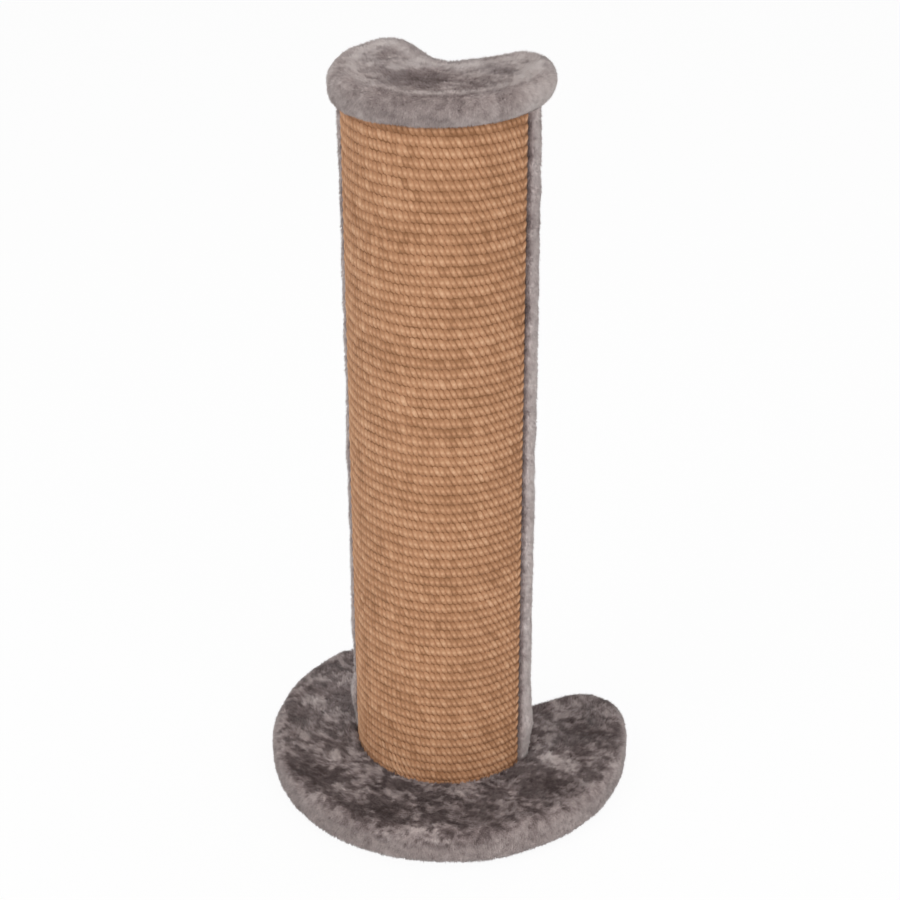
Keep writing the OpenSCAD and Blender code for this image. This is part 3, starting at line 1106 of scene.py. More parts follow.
    def build(
        self, plush: bpy.types.Material, face: Pile, rim: Pile, flat: tuple[float, float]
    ) -> None:
        """Make the cloth and the two areas of pile, and dress them.

        Args:
            plush: The plush material.
            face: Pile of the flat face.
            rim: Pile of the edge.
            flat: Width and length that the cloth was cut to.
        """
        places = self._rings()
        points = places.reshape(-1, 3)
        inset = self._insets(points)
        rim_share = self._rim_share(points, inset)
        outside = self.footprint(points)
        on_top = points[:, 2] > self.high.z - self.top_h
        sideways = self._ruffle(points, inset, on_top)
        cover = np.where(points[:, 2] > self.low.z + self.bare_h, 1.0, 0.0)
        self._settle(points, sideways, inset)
        if self.pressed_z is not None:
            above = points[:, 2] - self.pressed_z
            pressed = self.pressed_z + above * smooth(*self.press_band, outside)
            points[:, 2] = np.where(on_top, pressed, points[:, 2])
            cover = np.where(on_top, cover * (outside > -self.press_bare), cover)
        nap_and_shading = self.nap_and_shading.at(points, rim_share)
        # Painted highlight along the ridge and painted shade beside it.
        for crest in self.ridge_light_and_shade:
            nap_and_shading += crest.at(inset) * on_top
        upper = np.where(on_top & (inset > self.face_inset), 1.0, 0.0)
        marks = {"nap_and_shading": nap_and_shading, "cover": cover, "upper": upper}
        cloth = woven_grid(self.name, points.reshape(places.shape), marks)
        area = min(cloth_area(cloth), flat[0] * flat[1])
        on_face = get_mark(cloth, "upper")
        areas = (
            PileArea("face", face, self._brushed_face, on_face),
            PileArea("rim", rim, brushed_down, 1 - on_face),
        )
        piles = finish_plush(cloth, areas, plush, self.backing)
        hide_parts(self.node)

    def _brushed_face(self, places: Array) -> Array:
        """The face's pile lies outwards from the column."""
        return unit((places - (self.hub[0], self.hub[1], 0)) * (1, 1, 0))


def brushed_down(places: Array) -> Array:
    """A rim's pile lies downwards."""
    return np.zeros_like(places) - UP


@dataclass(frozen=True)
class ColumnShape:
    """Sizes of the column that its cover and its mat share."""

    centre: tuple[float, float]
    mat_r: float
    cover_r: float
    corner_r: float
    back_y: float
    arc_end: float
    low_z: float
    high_z: float

    def outside(self, places: Array) -> Array:
        """Distance outside the column's outline, negative within it.

        Args:
            places: Rows of places.

        Returns:
            One distance per place.
        """
        flat = np.linalg.norm(places[:, :2] - self.centre, axis=1)
        return np.maximum(flat - (self.mat_r + self.cover_r) / 2, places[:, 1] - self.back_y)

    def around(self, angle: Array) -> tuple[Array, Array]:
        """Directions at angles that count from the front towards +X.

        Args:
            angle: The angles.

        Returns:
            Rows that point outwards, and rows that point along the arc.
        """
        level = np.zeros(len(angle))
        outward = np.stack([np.sin(angle), -np.cos(angle), level], axis=1)
        return outward, np.stack([np.cos(angle), np.sin(angle), level], axis=1)

    def spot(self, outward: Array, radius: Array | float, level: Array) -> Array:
        """Places outwards from the column's centre line, at a radius and at levels."""
        return outward * radius + (self.centre[0], self.centre[1], 0) + np.outer(level, UP)


def polar(radius: float, angle: float) -> tuple[float, float]:
    """Place at a radius and an angle counted from the front towards +X."""
    return radius * math.sin(angle), -radius * math.cos(angle)


@dataclass
class ColumnPlush:
    """Plush round the column's sides and back, tucked under the mat's edges."""

    name: str
    node: str
    column: ColumnShape
    nap_and_shading: NapAndShading
    depth: float = 1.3 * MM
    backing: float = 1.2 * MM
    row_h: float = 2.6 * MM
    flap_depth: float = 4.6 * MM
    flap_angles: Sequence[float] = (9, 7, 5, 3, 1)
    nose_start: float = math.radians(0.4)
    nose: float = math.radians(2.4)
    nose_steps: int = 8
    side_steps: int = 6
    corner_steps: int = 18
    back_points: int = 30
    foot_h: float = 6 * MM
    flare: Hump = Hump(27 * MM, 11 * MM, 2.4 * MM)
    flare_band: Band = (20 * MM, 50 * MM)
    pinch: float = 0.8 * MM
    pinch_band: Band = (-2 * MM, 20 * MM)
    free_band: Band = (5, 11)
    # Painted shade in the crease along the mat's edge.
    crease_shade_band: Band = (8, 14)
    crease_shade: float = -0.5
    # Painted light: the strip lighter at its foot.
    foot_light_band: Band = (20 * MM, 70 * MM)
    foot_light: float = 0.1
    # Painted sheen: the plush lighter on the left.
    left_sheen_band: Band = (0.0, -30 * MM)
    left_sheen: float = 0.2
    # Painted shadow: the plush darker under the top plate.
    head_shadow_band: Band = (300 * MM, 440 * MM)
    head_shadow: float = -0.1
    bare_points: int = 7
    back_x: float = 52 * MM
    back_depth: float = 4 * MM
    folds: Waves = Waves(0.35, 16 * MM)
    waves: Waves = Waves(0.5, 34 * MM, 4.0)

    def _half(self) -> Array:
        """Outer line on the right, from under the mat to the middle of the back.

        Returns:
            Rows of x and y from the column's centre.
        """
        shape = self.column
        radius = shape.cover_r - self.depth
        flap_r = shape.mat_r - self.flap_depth
        yc = shape.back_y - shape.centre[1] - shape.corner_r
        xc = math.sqrt((shape.cover_r - shape.corner_r) ** 2 - yc**2)
        meet = math.atan2(xc, -yc)
        start = shape.arc_end + self.nose_start
        line = [polar(flap_r, shape.arc_end - math.radians(angle)) for angle in self.flap_angles]
        for step in range(self.nose_steps + 1):
            angle = math.pi / 2 * step / self.nose_steps
            reach = flap_r + (radius - flap_r) * math.sin(angle)
            line.append(polar(reach, start + self.nose * (1 - math.cos(angle))))
        for step in range(1, self.side_steps + 1):
            part = (meet - start - self.nose) * step / self.side_steps
            line.append(polar(radius, start + self.nose + part))
        corner_r = shape.corner_r - self.depth
        back = math.pi / 2
        corner = arc(np.array([xc, yc]), corner_r, meet - back, back, self.corner_steps)
        back_x = np.linspace(xc, 0, self.back_points)[1:]
        rear = np.stack([back_x, np.full(len(back_x), corner[-1][1])], axis=1)
        return np.concatenate([np.array(line), corner[1:], rear])

    def _hang(self, line: Array) -> Array:
        """Let the line down the column.

        Args:
            line: The cloth's line from flap to flap.

        Returns:
            Places as rows by columns by three.
        """
        shape = self.column
        height = shape.high_z - shape.low_z
        heights = np.linspace(shape.low_z, shape.high_z, round(height / self.row_h))
        rows, columns = len(heights), len(line)
        flat = np.broadcast_to(line, (rows, columns, 2)) + shape.centre
        level = np.broadcast_to(heights[:, None, None], (rows, columns, 1))
        return np.concatenate([flat, level], axis=2)

    def _ruffle(self, points: Array, out: Array, order: Array) -> None:
        """Make the cloth uneven, pinched at its foot and flared above it, in place.

        Args:
            points: Rows of places, which are moved.
            out: Directions out of the cloth.
            order: How many points each place lies from the nearer flap's edge.
        """
        free = smooth(*self.free_band, order)
        uneven = self.folds.at(points * (1.0, 1.0, 0.3), self.nap_and_shading.shift)
        uneven = uneven + self.waves.at(points, self.nap_and_shading.shift)
        rise = points[:, 2] - (self.column.low_z + self.foot_h)
        flare = self.flare.at(rise) - self.pinch * (1 - smooth(*self.pinch_band, rise))
        side = smooth(*self.flare_band, np.abs(points[:, 0])) * free
        points += out * (uneven * MM * free + flare * side)[:, None]

    def _tone(self, points: Array, order: Array) -> Array:
        """Tone of the pile, with painted shade in the crease at the mat and under the top plate,
        and painted light at the foot and on the left.

        Args:
            points: Rows of places.
            order: How many points each place lies from the nearer flap's edge.

        Returns:
            One tone per place.
        """
        rise = points[:, 2] - (self.column.low_z + self.foot_h)
        nap_and_shading = self.nap_and_shading.at(points, np.zeros(len(points)))
        nap_and_shading = nap_and_shading + self.crease_shade * (1 - smooth(*self.crease_shade_band, order))
        nap_and_shading = nap_and_shading + self.foot_light * (1 - smooth(*self.foot_light_band, rise))
        nap_and_shading = nap_and_shading + self.left_sheen * smooth(*self.left_sheen_band, points[:, 0])
        return nap_and_shading + self.head_shadow * smooth(*self.head_shadow_band, points[:, 2])

    def build(
        self, plush: bpy.types.Material, sides: Pile, back: Pile, flat: tuple[float, float]
    ) -> None:
        """Make the cover and its pile, and dress them.

        Args:
            plush: The plush material.
            sides: Pile of the two sides.
            back: Pile of the flat back.
            flat: Width and length that the cloth was cut to; not used.
        """
        half = self._half()
        line = np.concatenate([half, half[-2::-1] * (-1, 1)])
        outward = unit(np.gradient(line, axis=0)) @ np.array([[0, -1], [1, 0]])
        quarter = len(line) // 4
        outward *= np.sign(np.sum(outward[quarter] * line[quarter]))
        places = self._hang(line)
        rows, columns = places.shape[:2]
        points = places.reshape(-1, 3).copy()
        out = np.tile(np.concatenate([outward, np.zeros((columns, 1))], axis=1), (rows, 1))
        from_left = np.arange(columns)
        order = np.tile(np.minimum(from_left, columns - 1 - from_left), rows).astype(float)
        self._ruffle(points, out, order)
        nap_and_shading = self._tone(points, order)
        cover = np.where(order > self.bare_points, 1.0, 0.0)
        flat_x = np.where(np.abs(points[:, 0]) < self.back_x, 1.0, 0.0)
        behind = flat_x * (points[:, 1] > self.column.back_y - self.back_depth)
        marks = {"nap_and_shading": nap_and_shading, "cover": cover, "back": behind}
        cloth = woven_grid(self.name, points.reshape(places.shape), marks)
        cloth_area(cloth)
        on_back = get_mark(cloth, "back")
        areas = (
            PileArea("side", sides, self._brushed, 1 - on_back),
            PileArea("back", back, self._brushed, on_back),
        )
        piles = finish_plush(cloth, areas, plush, self.backing)
        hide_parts(self.node)

    def _brushed(self, places: Array) -> Array:
        """The column's pile lies downwards."""
        return np.zeros_like(places) + (0.12, 0, -1.0)


@dataclass
class SisalMat:
    """Woven mat: level rows of short leaning floats, which chain into diagonals between rows."""

    name: str
    node: str
    column: ColumnShape
    row_pitch: float = 6.87 * MM
    float_pitch: float = 3.65 * MM
    float_w: float = 2.25 * MM
    float_h: float = 4.05 * MM
    float_t: float = 1.25 * MM
    arch: float = 0.65
    plump: float = 0.3
    weave_r: float = 62.6 * MM
    groove_r: float = 62.8 * MM
    crest_r: float = 63.0 * MM
    weft_t: float = 1.0 * MM
    weft_steps: int = 6
    weft_columns: int = 90
    slant: float = -0.36
    edge_w: float = 3.7 * MM
    edge_h: float = 3.4 * MM
    edge_slant: float = 0.4
    tone: float = 0.41
    edge_tone: float = 0.42
    # Painted highlight on each float's crown and painted shade towards its ends.
    crown_highlight: float = 0.44
    highlight_reach: Band = (0.1, 0.3)
    end_shade: float = 0.1
    bunch: Hump = Hump(-0.22, 0.17, 1.0)
    tone_waves: Waves = Waves(0.1, 26 * MM, 21.0, 2)
    row_waves: Waves = Waves(0.45 * MM, 34 * MM, 5.0, 2)
    side_waves: Waves = Waves(0.3 * MM, 30 * MM, 9.0, 2)
    swell_waves: Waves = Waves(0.06, 18 * MM, 2.0, 3)
    slant_waves: Waves = Waves(0.2, 40 * MM, 14.0, 2)
    line_spread: float = 0.03
    tone_spread: float = 0.07
    # Painted light: the floats lighter towards the left of the mat.
    side_light: float = 0.06
    # Painted shadow: the top row darker under the top plate.
    top_row_shadow: float = 0.2
    level_spread: float = 0.12 * MM
    side_spread: float = 0.08 * MM
    swell_spread: float = 0.035
    swell_out: float = 3 * MM
    slant_turn: float = 0.5
    slant_spread: float = 0.05
    side_narrow: float = 0.1
    bunch_rows: Band = (1.3, 2.5)
    bunch_lean: float = 0.4
    bunch_tone: float = 0.25
    bunch_narrow: float = 0.32
    bunch_out: float = 0.35 * MM
    # Painted shade: the wefts darker in the grooves between rows, lighter on their crests.
    groove_shading: float = 0.45
    edge_sink: float = 0.2 * MM
    edge_spread: float = 0.2 * MM
    edge_tone_spread: float = 0.08
    edge_width: Band = (0.52, 0.6)
    fibres: int = 700
    fibre_w: float = 0.09 * MM
    fibre_length: Band = (3, 7)
    fibre_lift: Band = (0.15, 0.5)
    fibre_tone: Band = (0.6, 0.95)
    fibre_foot: float = 8 * MM
    fibre_head: float = 4 * MM
    seed: int = 71

    def _template(self) -> bpy.types.Mesh:
        """One float of unit half sizes, arched so that its ends dive under its crown.

        Returns:
            The float, with a UV map for its fibres.
        """
        model = bmesh.new()
        model.loops.layers.uv.new("grain")
        bmesh.ops.create_uvsphere(
            model, u_segments=8, v_segments=8, radius=1.0, calc_uvs=True
        )
        for vertex in model.verts:
            x, y, z = vertex.co
            plump = max(1 - z * z, 0.01) ** -self.plump
            vertex.co = (x * plump, y * plump - self.arch * z * z, z)
        return smooth_mesh("float", model)

    def build(
        self, yarn: bpy.types.Material, shaded_weft: bpy.types.Material, flat: tuple[float, float]
    ) -> None:
        """Make the wefts, the floats, the edges and the loose fibres, and dress them.

        Args:
            yarn: Material of the floats.
            shaded_weft: Material of the wefts between them; its darker colours are painted shade in
                the grooves.
            flat: Width and length of the mat; not used.
        """
        rng = np.random.default_rng(self.seed)
        height = self.column.high_z - self.column.low_z
        rows = round(height / self.row_pitch)
        pitch = height / rows
        wefts = self._wefts(pitch, rows)
        dress(wefts, shaded_weft)
        stamp = Stamp(self._template())
        pieces = self._floats(yarn, stamp, rows, pitch, rng)
        pieces.append(self._edges(yarn, stamp, rows, pitch, rng))
        pieces.append(self._fibres(yarn, rng))
        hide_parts(self.node)

    def _floats(
        self,
        yarn: bpy.types.Material,
        stamp: Stamp,
        rows: int,
        pitch: float,
        rng: np.random.Generator,
    ) -> list[bpy.types.Object]:
        """Floats over the wefts, in three pieces from the bottom to the top.

        Args:
            yarn: Material of the floats.
            stamp: The float's shape.
            rows: Number of rows.
            pitch: Height of a row.
            rng: Source of the random draws.

        Returns:
            The three pieces.
        """
        shape = self.column
        reach = shape.arc_end - self.edge_w / shape.mat_r
        count = round(2 * reach * shape.mat_r / self.float_pitch)
        row, place = (grid.ravel() for grid in np.mgrid[0:rows, 0:count])
        number = len(row)
        spots = np.stack([place * self.float_pitch, row * pitch, np.zeros(number)], axis=1)
        tone = self.tone + rng.normal(0.0, self.line_spread, count)[place]
        tone = tone + rng.normal(0.0, self.line_spread, rows)[row]
        # Painted light: the floats lighter towards the left of the mat.
        tone = tone + self.tone_waves.at(spots) + self.side_light * (0.5 - place / count)
        level = shape.low_z + (row + 0.5) * pitch + self.row_waves.at(spots)
        level = level + rng.normal(0.0, self.level_spread, number)
        drift = rng.normal(0.0, self.side_spread, number) + self.side_waves.at(spots)
        angle = -reach + (place + 0.5) * (2 * reach / count) + drift / shape.mat_r
        swell = 1 + self.swell_waves.at(spots) + rng.normal(0.0, self.swell_spread, number)
        turn = 1 + self.slant_waves.at(spots) + self.slant_turn * np.sin(angle)
        lean = self.slant * turn + rng.normal(0.0, self.slant_spread, number)
        first, fade = self.bunch_rows
        bunched = np.clip(first - row / fade, 0.0, 1.0) * self.bunch.at(angle)
        lean = lean - self.bunch_lean * bunched
        # Painted shadow: the top row darker under the top plate.
        tone = tone + self.bunch_tone * bunched - self.top_row_shadow * (row > rows - 2)
        narrowed = 1 - self.side_narrow * np.sin(angle) - self.bunch_narrow * bunched
        width = self.float_w * swell * narrowed
        radius = self.weave_r + (swell - 1) * self.swell_out + self.bunch_out * bunched
        outward, across = shape.around(angle)
        upright = np.array(UP) + across * lean[:, None]
        origin = shape.spot(outward, radius[:, None], level)
        parts = ("lower", "middle", "upper")
        share = (level - shape.low_z) / (shape.high_z - shape.low_z)
        band = np.minimum(share * len(parts), len(parts) - 1).astype(int)
        pieces = []
        for index, part in enumerate(parts):
            pick = band == index
            shade = tone[pick] + rng.normal(0.0, self.tone_spread, int(pick.sum()))
            axes = (
                across[pick] * width[pick, None],
                outward[pick] * self.float_t,
                upright[pick] * self.float_h,
            )
            pieces.append(self._lay(f"{part}_floats", yarn, stamp, origin[pick], axes, shade, rng))
        return pieces

    def _lay(
        self,
        part: str,
        yarn: bpy.types.Material,
        stamp: Stamp,
        origin: Array,
        axes: tuple[Array, Array, Array],
        tone: Array,
        rng: np.random.Generator,
    ) -> bpy.types.Object:
        """Lay copies of the float, each with its tone, a painted highlight on its crown, painted
        shade towards its ends, and its own piece of the fibres' pattern.

        Args:
            part: Last words of the piece's name.
            yarn: Its material.
            stamp: The float's shape.
            origin: Places of the copies.
            axes: Their width, thickness and length as directions.
            tone: Their tones.
            rng: Source of the random draws.

        Returns:
            The piece.
        """
        piece = stamp.repeat(f"{self.name}_{part}", origin, *axes)
        along, across = stamp.points[:, 2] ** 2, stamp.points[:, 0] ** 2
        # Painted highlight on each float's crown and painted shade towards its ends.
        crown = np.exp(-along / self.highlight_reach[0] - across / self.highlight_reach[1])
        shade = self.crown_highlight * crown - self.end_shade * along
        set_mark(piece, "tone", stamp.spread(tone, shade))
        source = stamp.template.uv_layers["grain"]
        one = np.empty((len(source.data), 2), dtype=np.float32)
        source.data.foreach_get("uv", one.ravel())
        shift = rng.random((len(tone), 1, 2)).astype(np.float32) * 9
        layer = piece.data.uv_layers.get("grain") or piece.data.uv_layers.new(name="grain")
        layer.data.foreach_set("uv", (one[None] + shift).ravel())
        dress(piece, yarn)
        return piece

    def _wefts(self, pitch: float, rows: int) -> bpy.types.Object:
        """Thick level wefts as one ribbed sheet, with painted shade in the grooves between rows.

        Args:
            pitch: Height of a row.
            rows: Number of rows.

        Returns:
            The sheet.
        """
        shape = self.column
        angles = np.linspace(-shape.arc_end, shape.arc_end, self.weft_columns)
        steps = np.arange(rows * self.weft_steps + 1)
        bulge = np.sqrt(np.abs(np.sin(math.pi * steps / self.weft_steps)))
        radius = self.groove_r + (self.crest_r - self.groove_r) * bulge
        level = shape.low_z + steps * pitch / self.weft_steps
        grid = np.stack([
            np.outer(radius, np.sin(angles)) + shape.centre[0],
            -np.outer(radius, np.cos(angles)) + shape.centre[1],
            np.outer(level, np.ones(len(angles))),
        ], axis=2)
        # Painted shade: the wefts darker in the grooves between rows, lighter on their crests.
        tone = np.outer(bulge, np.ones(len(angles))) * self.groove_shading
        sheet = woven_grid(self.name, grid, {"tone": tone})
        thicken(sheet, self.weft_t)
        return sheet

    def _edges(
        self,
        yarn: bpy.types.Material,
        stamp: Stamp,
        rows: int,
        pitch: float,
        rng: np.random.Generator,
    ) -> bpy.types.Object:
        """Selvedges: one loop per row down each edge of the mat, leaning against the floats.

        Args:
            yarn: Material of the loops.
            stamp: The float's shape.
            rows: Number of rows.
            pitch: Height of a row.
            rng: Source of the random draws.

        Returns:
            The piece.
        """
        shape = self.column
        side = np.repeat([-1.0, 1.0], rows)
        level = shape.low_z + (np.tile(np.arange(rows), 2) + 0.5) * pitch
        level = level + rng.normal(0.0, self.edge_spread, len(side))
        outward, across = shape.around(side * (shape.arc_end - self.edge_w / 2 / shape.mat_r))
        origin = shape.spot(outward, self.weave_r - self.edge_sink, level)
        width = rng.uniform(*self.edge_width, len(side))[:, None] * self.edge_w
        upright = np.array(UP) + across * (side * self.edge_slant)[:, None]
        axes = (across * width, outward * self.float_t, upright * self.edge_h)
        tone = rng.normal(self.edge_tone, self.edge_tone_spread, len(side))
        return self._lay("edge_loops", yarn, stamp, origin, axes, tone, rng)

    def _fibres(self, yarn: bpy.types.Material, rng: np.random.Generator) -> bpy.types.Object:
        """Loose fibres that stand off the weave.

        Args:
            yarn: Material of the fibres.
            rng: Source of the random draws.

        Returns:
            The piece.
        """
        shape = self.column
        number = self.fibres
        angle = rng.uniform(-shape.arc_end, shape.arc_end, number)
        low, high = shape.low_z + self.fibre_foot, shape.high_z - self.fibre_head
        level = rng.uniform(low, high, number)
        outward, across = shape.around(angle)
        origin = shape.spot(outward, self.weave_r, level)
        turn = rng.uniform(0, 2 * math.pi, number)[:, None]
        laid = across * np.cos(turn) + UP * np.sin(turn)
        way = unit(laid + outward * rng.uniform(*self.fibre_lift, (number, 1)))
        side = unit(np.cross(way, outward))
        length = rng.uniform(*self.fibre_length, number)[:, None] * MM
        stamp = Stamp(blade_template())
        piece = stamp.repeat(
            f"{self.name}_loose_fibres", origin, side * self.fibre_w,
            np.cross(side, way) * self.fibre_w, way * length,
        )
        set_mark(piece, "tone", stamp.spread(rng.uniform(*self.fibre_tone, number)))
        piece.data.uv_layers.new(name="grain")
        dress(piece, yarn)
        return piece


@dataclass
class Lining:
    """Black cloth stapled under the base, with round openings at the bolts."""

    name: str
    node: str
    outline: Outline
    bolts: Sequence[tuple[float, float]]
    inset: float = 14 * MM
    hole_r: float = 11 * MM
    face_h: float = 0.3 * MM
    edge_step: int = 3
    hole_sides: int = 36
    longest: float = 6 * MM
    ripple: float = 0.25 * MM
    ripple_size: float = 18 * MM
    cloth_share: float = 0.5

    def _sheet(self, low_z: float) -> bmesh.types.BMesh:
        """Fill the outline round the openings and ripple it a little.

        Args:
            low_z: Height of the lining's underside in the frame.

        Returns:
            The sheet, which faces down.
        """
        model = bmesh.new()
        level = low_z + self.face_h
        line = self.outline.loop(self.inset)[:: self.edge_step]
        ring = [model.verts.new((x, y, level)) for x, y in line]
        edges = [model.edges.new((a, b)) for a, b in zip(ring, ring[1:] + ring[:1])]
        for x, y in self.bolts:
            made = bmesh.ops.create_circle(
                model, cap_ends=False, radius=self.hole_r, segments=self.hole_sides,
                matrix=Matrix.Translation((x, y, level)),
            )
            edges += list({edge for vertex in made["verts"] for edge in vertex.link_edges})
        bmesh.ops.triangle_fill(model, use_beauty=True, edges=edges, normal=(0, 0, -1))
        long_edges = [edge for edge in model.edges if edge.calc_length() > self.longest]
        bmesh.ops.subdivide_edges(model, edges=long_edges, cuts=2)
        bmesh.ops.triangulate(model, faces=model.faces)
        for vertex in model.verts:
            place = vertex.co / self.ripple_size
            vertex.co.z += self.ripple * noise.fractal(place, NOISE_FADE, NOISE_STEP, 3)
        bmesh.ops.recalc_face_normals(model, faces=model.faces)
        if sum(face.normal.z for face in model.faces) > 0:
            bmesh.ops.reverse_faces(model, faces=model.faces)
        return model

    def build(self, material: bpy.types.Material, flat: tuple[float, float]) -> None:
        """Make the lining and dress it.

        Args:
            material: The lining's material.
            flat: Width and length that it was cut to; not used.
        """
        low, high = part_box(self.node)
        cloth = finished(self.name, self._sheet(low.z))
        thicken(cloth, (high.z - low.z) * self.cloth_share)
        dress(cloth, material)
        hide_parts(self.node)
        area = cloth_area(cloth)


@dataclass(frozen=True)
class Lamp:
    """Square lamp that faces the object."""

    name: str
    place: tuple[float, float, float]
    watts: float
    size: float

    def light(self, aim: Vector) -> None:
        """Put the lamp in the scene.

        Args:
            aim: What it faces.
        """
        data = bpy.data.lights.new(self.name, "AREA")
        data.energy = self.watts
        data.size = self.size
        lamp = bpy.data.objects.new(self.name, data)
        lamp.location = self.place
        lamp.rotation_euler = (aim - Vector(self.place)).to_track_quat("-Z", "Y").to_euler()
        bpy.context.scene.collection.objects.link(lamp)


@dataclass(frozen=True)
class Studio:
    """White sweep, soft lamps and the camera of the photograph."""

    focal_px: float = 2010.66
    sensor_mm: float = 36.0
    distance: float = 1.33458
    elevation: float = math.radians(28.1407)
    azimuth: float = math.radians(19.7866)
    roll: float = math.radians(-0.2151)
    shift_px: tuple[float, float] = (-4.2407, -9.2561)
    aim: tuple[float, float, float] = (0, 0.0216, 0.26)
    ambient: float = 0.55
    whiteness: float = 0.94
    floor_half: float = 6.0
    lamps: Sequence[Lamp] = (
        Lamp("key", (-1.1, -1.9, 1.7), 20.0, 1.4),
        Lamp("fill", (1.9, -1.3, 1.0), 16.0, 1.2),
        Lamp("top", (0.2, 0.4, 2.3), 9.0, 1.2),
    )

    def camera(self) -> None:
        """Set the camera where the photograph was taken from."""
        back = Vector((
            math.sin(self.azimuth) * math.cos(self.elevation),
            -math.cos(self.azimuth) * math.cos(self.elevation),
            math.sin(self.elevation),
        ))
        right = Vector((math.cos(self.azimuth), math.sin(self.azimuth), 0))
        up = back.cross(right)
        rolled = right * math.cos(self.roll) + up * math.sin(self.roll)
        upright = up * math.cos(self.roll) - right * math.sin(self.roll)
        data = bpy.data.cameras.new("camera")
        data.sensor_width = self.sensor_mm
        data.lens = self.sensor_mm * self.focal_px / PICTURE_PX
        data.shift_x = -self.shift_px[0] / PICTURE_PX
        data.shift_y = self.shift_px[1] / PICTURE_PX
        view = bpy.data.objects.new("camera", data)
        turn = Matrix((rolled, upright, back)).transposed().to_4x4()
        view.matrix_world = Matrix.Translation(Vector(self.aim) + back * self.distance) @ turn
        bpy.context.scene.collection.objects.link(view)
        bpy.context.scene.camera = view

    def world(self) -> None:
        """White surroundings that light the object at a plain level."""
        world = bpy.data.worlds.new("studio")
        world.use_nodes = True
        bpy.context.scene.world = world
        graph = Graph(world.node_tree)
        output = graph.tree.nodes.new("ShaderNodeOutputWorld")
        lit, shown = (
            graph.node("ShaderNodeBackground", inputs={"Color": WHITE, "Strength": strength})
            for strength in (self.ambient, 1.0)
        )
        mixed = graph.node("ShaderNodeMixShader", inputs={0: graph.backdrop(), 1: lit, 2: shown})
        graph.plug(output.inputs["Surface"], mixed)

    def floor(self) -> None:
        """Pale floor that keeps a faint shadow of the object."""
        model = bmesh.new()
        bmesh.ops.create_grid(model, x_segments=1, y_segments=1, size=self.floor_half)
        floor = finished("floor", model)
        graph = Surface("pale_floor")
        graph.finish(Base_Color=tint(246, 246, 246), Roughness=0.9, Specular_IOR_Level=0.1)
        glow = graph.node("ShaderNodeEmission", inputs={"Color": WHITE, "Strength": 1.0})
        share = graph.backdrop() * self.whiteness
        mixed = graph.node("ShaderNodeMixShader", inputs={0: share, 1: graph.shade, 2: glow})
        graph.plug(graph.output.inputs["Surface"], mixed)
        floor.data.materials.append(graph.material)

    def build(self) -> None:
        """Set up the whole studio."""
        bpy.context.scene.view_settings.view_transform = "Standard"
        self.camera()
        self.world()
        self.floor()
        for lamp in self.lamps:
            lamp.light(Vector(self.aim))


@dataclass(frozen=True)
class HardParts:
    """Boards, posts and fasteners that keep their solids and get their materials."""

    groups: Sequence[tuple[WoodFinish | ZincFinish, Sequence[str]]] = (
        (
            WoodFinish("fibreboard", tint(150, 116, 80), tint(196, 163, 120), (1, 1, 1), 300.0),
            ("base_board", "top_board", "lower_former", "middle_former", "upper_former"),
        ),
        (
            WoodFinish("sawn_pine", tint(196, 150, 92), tint(232, 200, 148), (8, 8, 0.5), 40.0),
            ("left_post", "right_post"),
        ),
        (
            WoodFinish("hardboard", tint(104, 76, 52), tint(146, 112, 80), (1, 1, 1), 500.0),
            ("front_shell", "back_panel"),
        ),
        (
            ZincFinish(),
            (
                "base_staples", "base_bolts", "base_washers", "tee_nuts", "post_screws",
                "shell_nails", "panel_screws", "mat_staples", "top_screws", "top_staples",
            ),
        ),
    )

    def dress(self) -> None:
        """Give each solid its material and report it."""
        for finish, names in self.groups:
            material = finish.material()
            for name in names:
                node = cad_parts[name]
                if not node.material_slots:
                    node.data.materials.append(material)
                for slot in node.material_slots:
                    slot.material = material
            log.info("%s on %s", material.name, ", ".join(names))


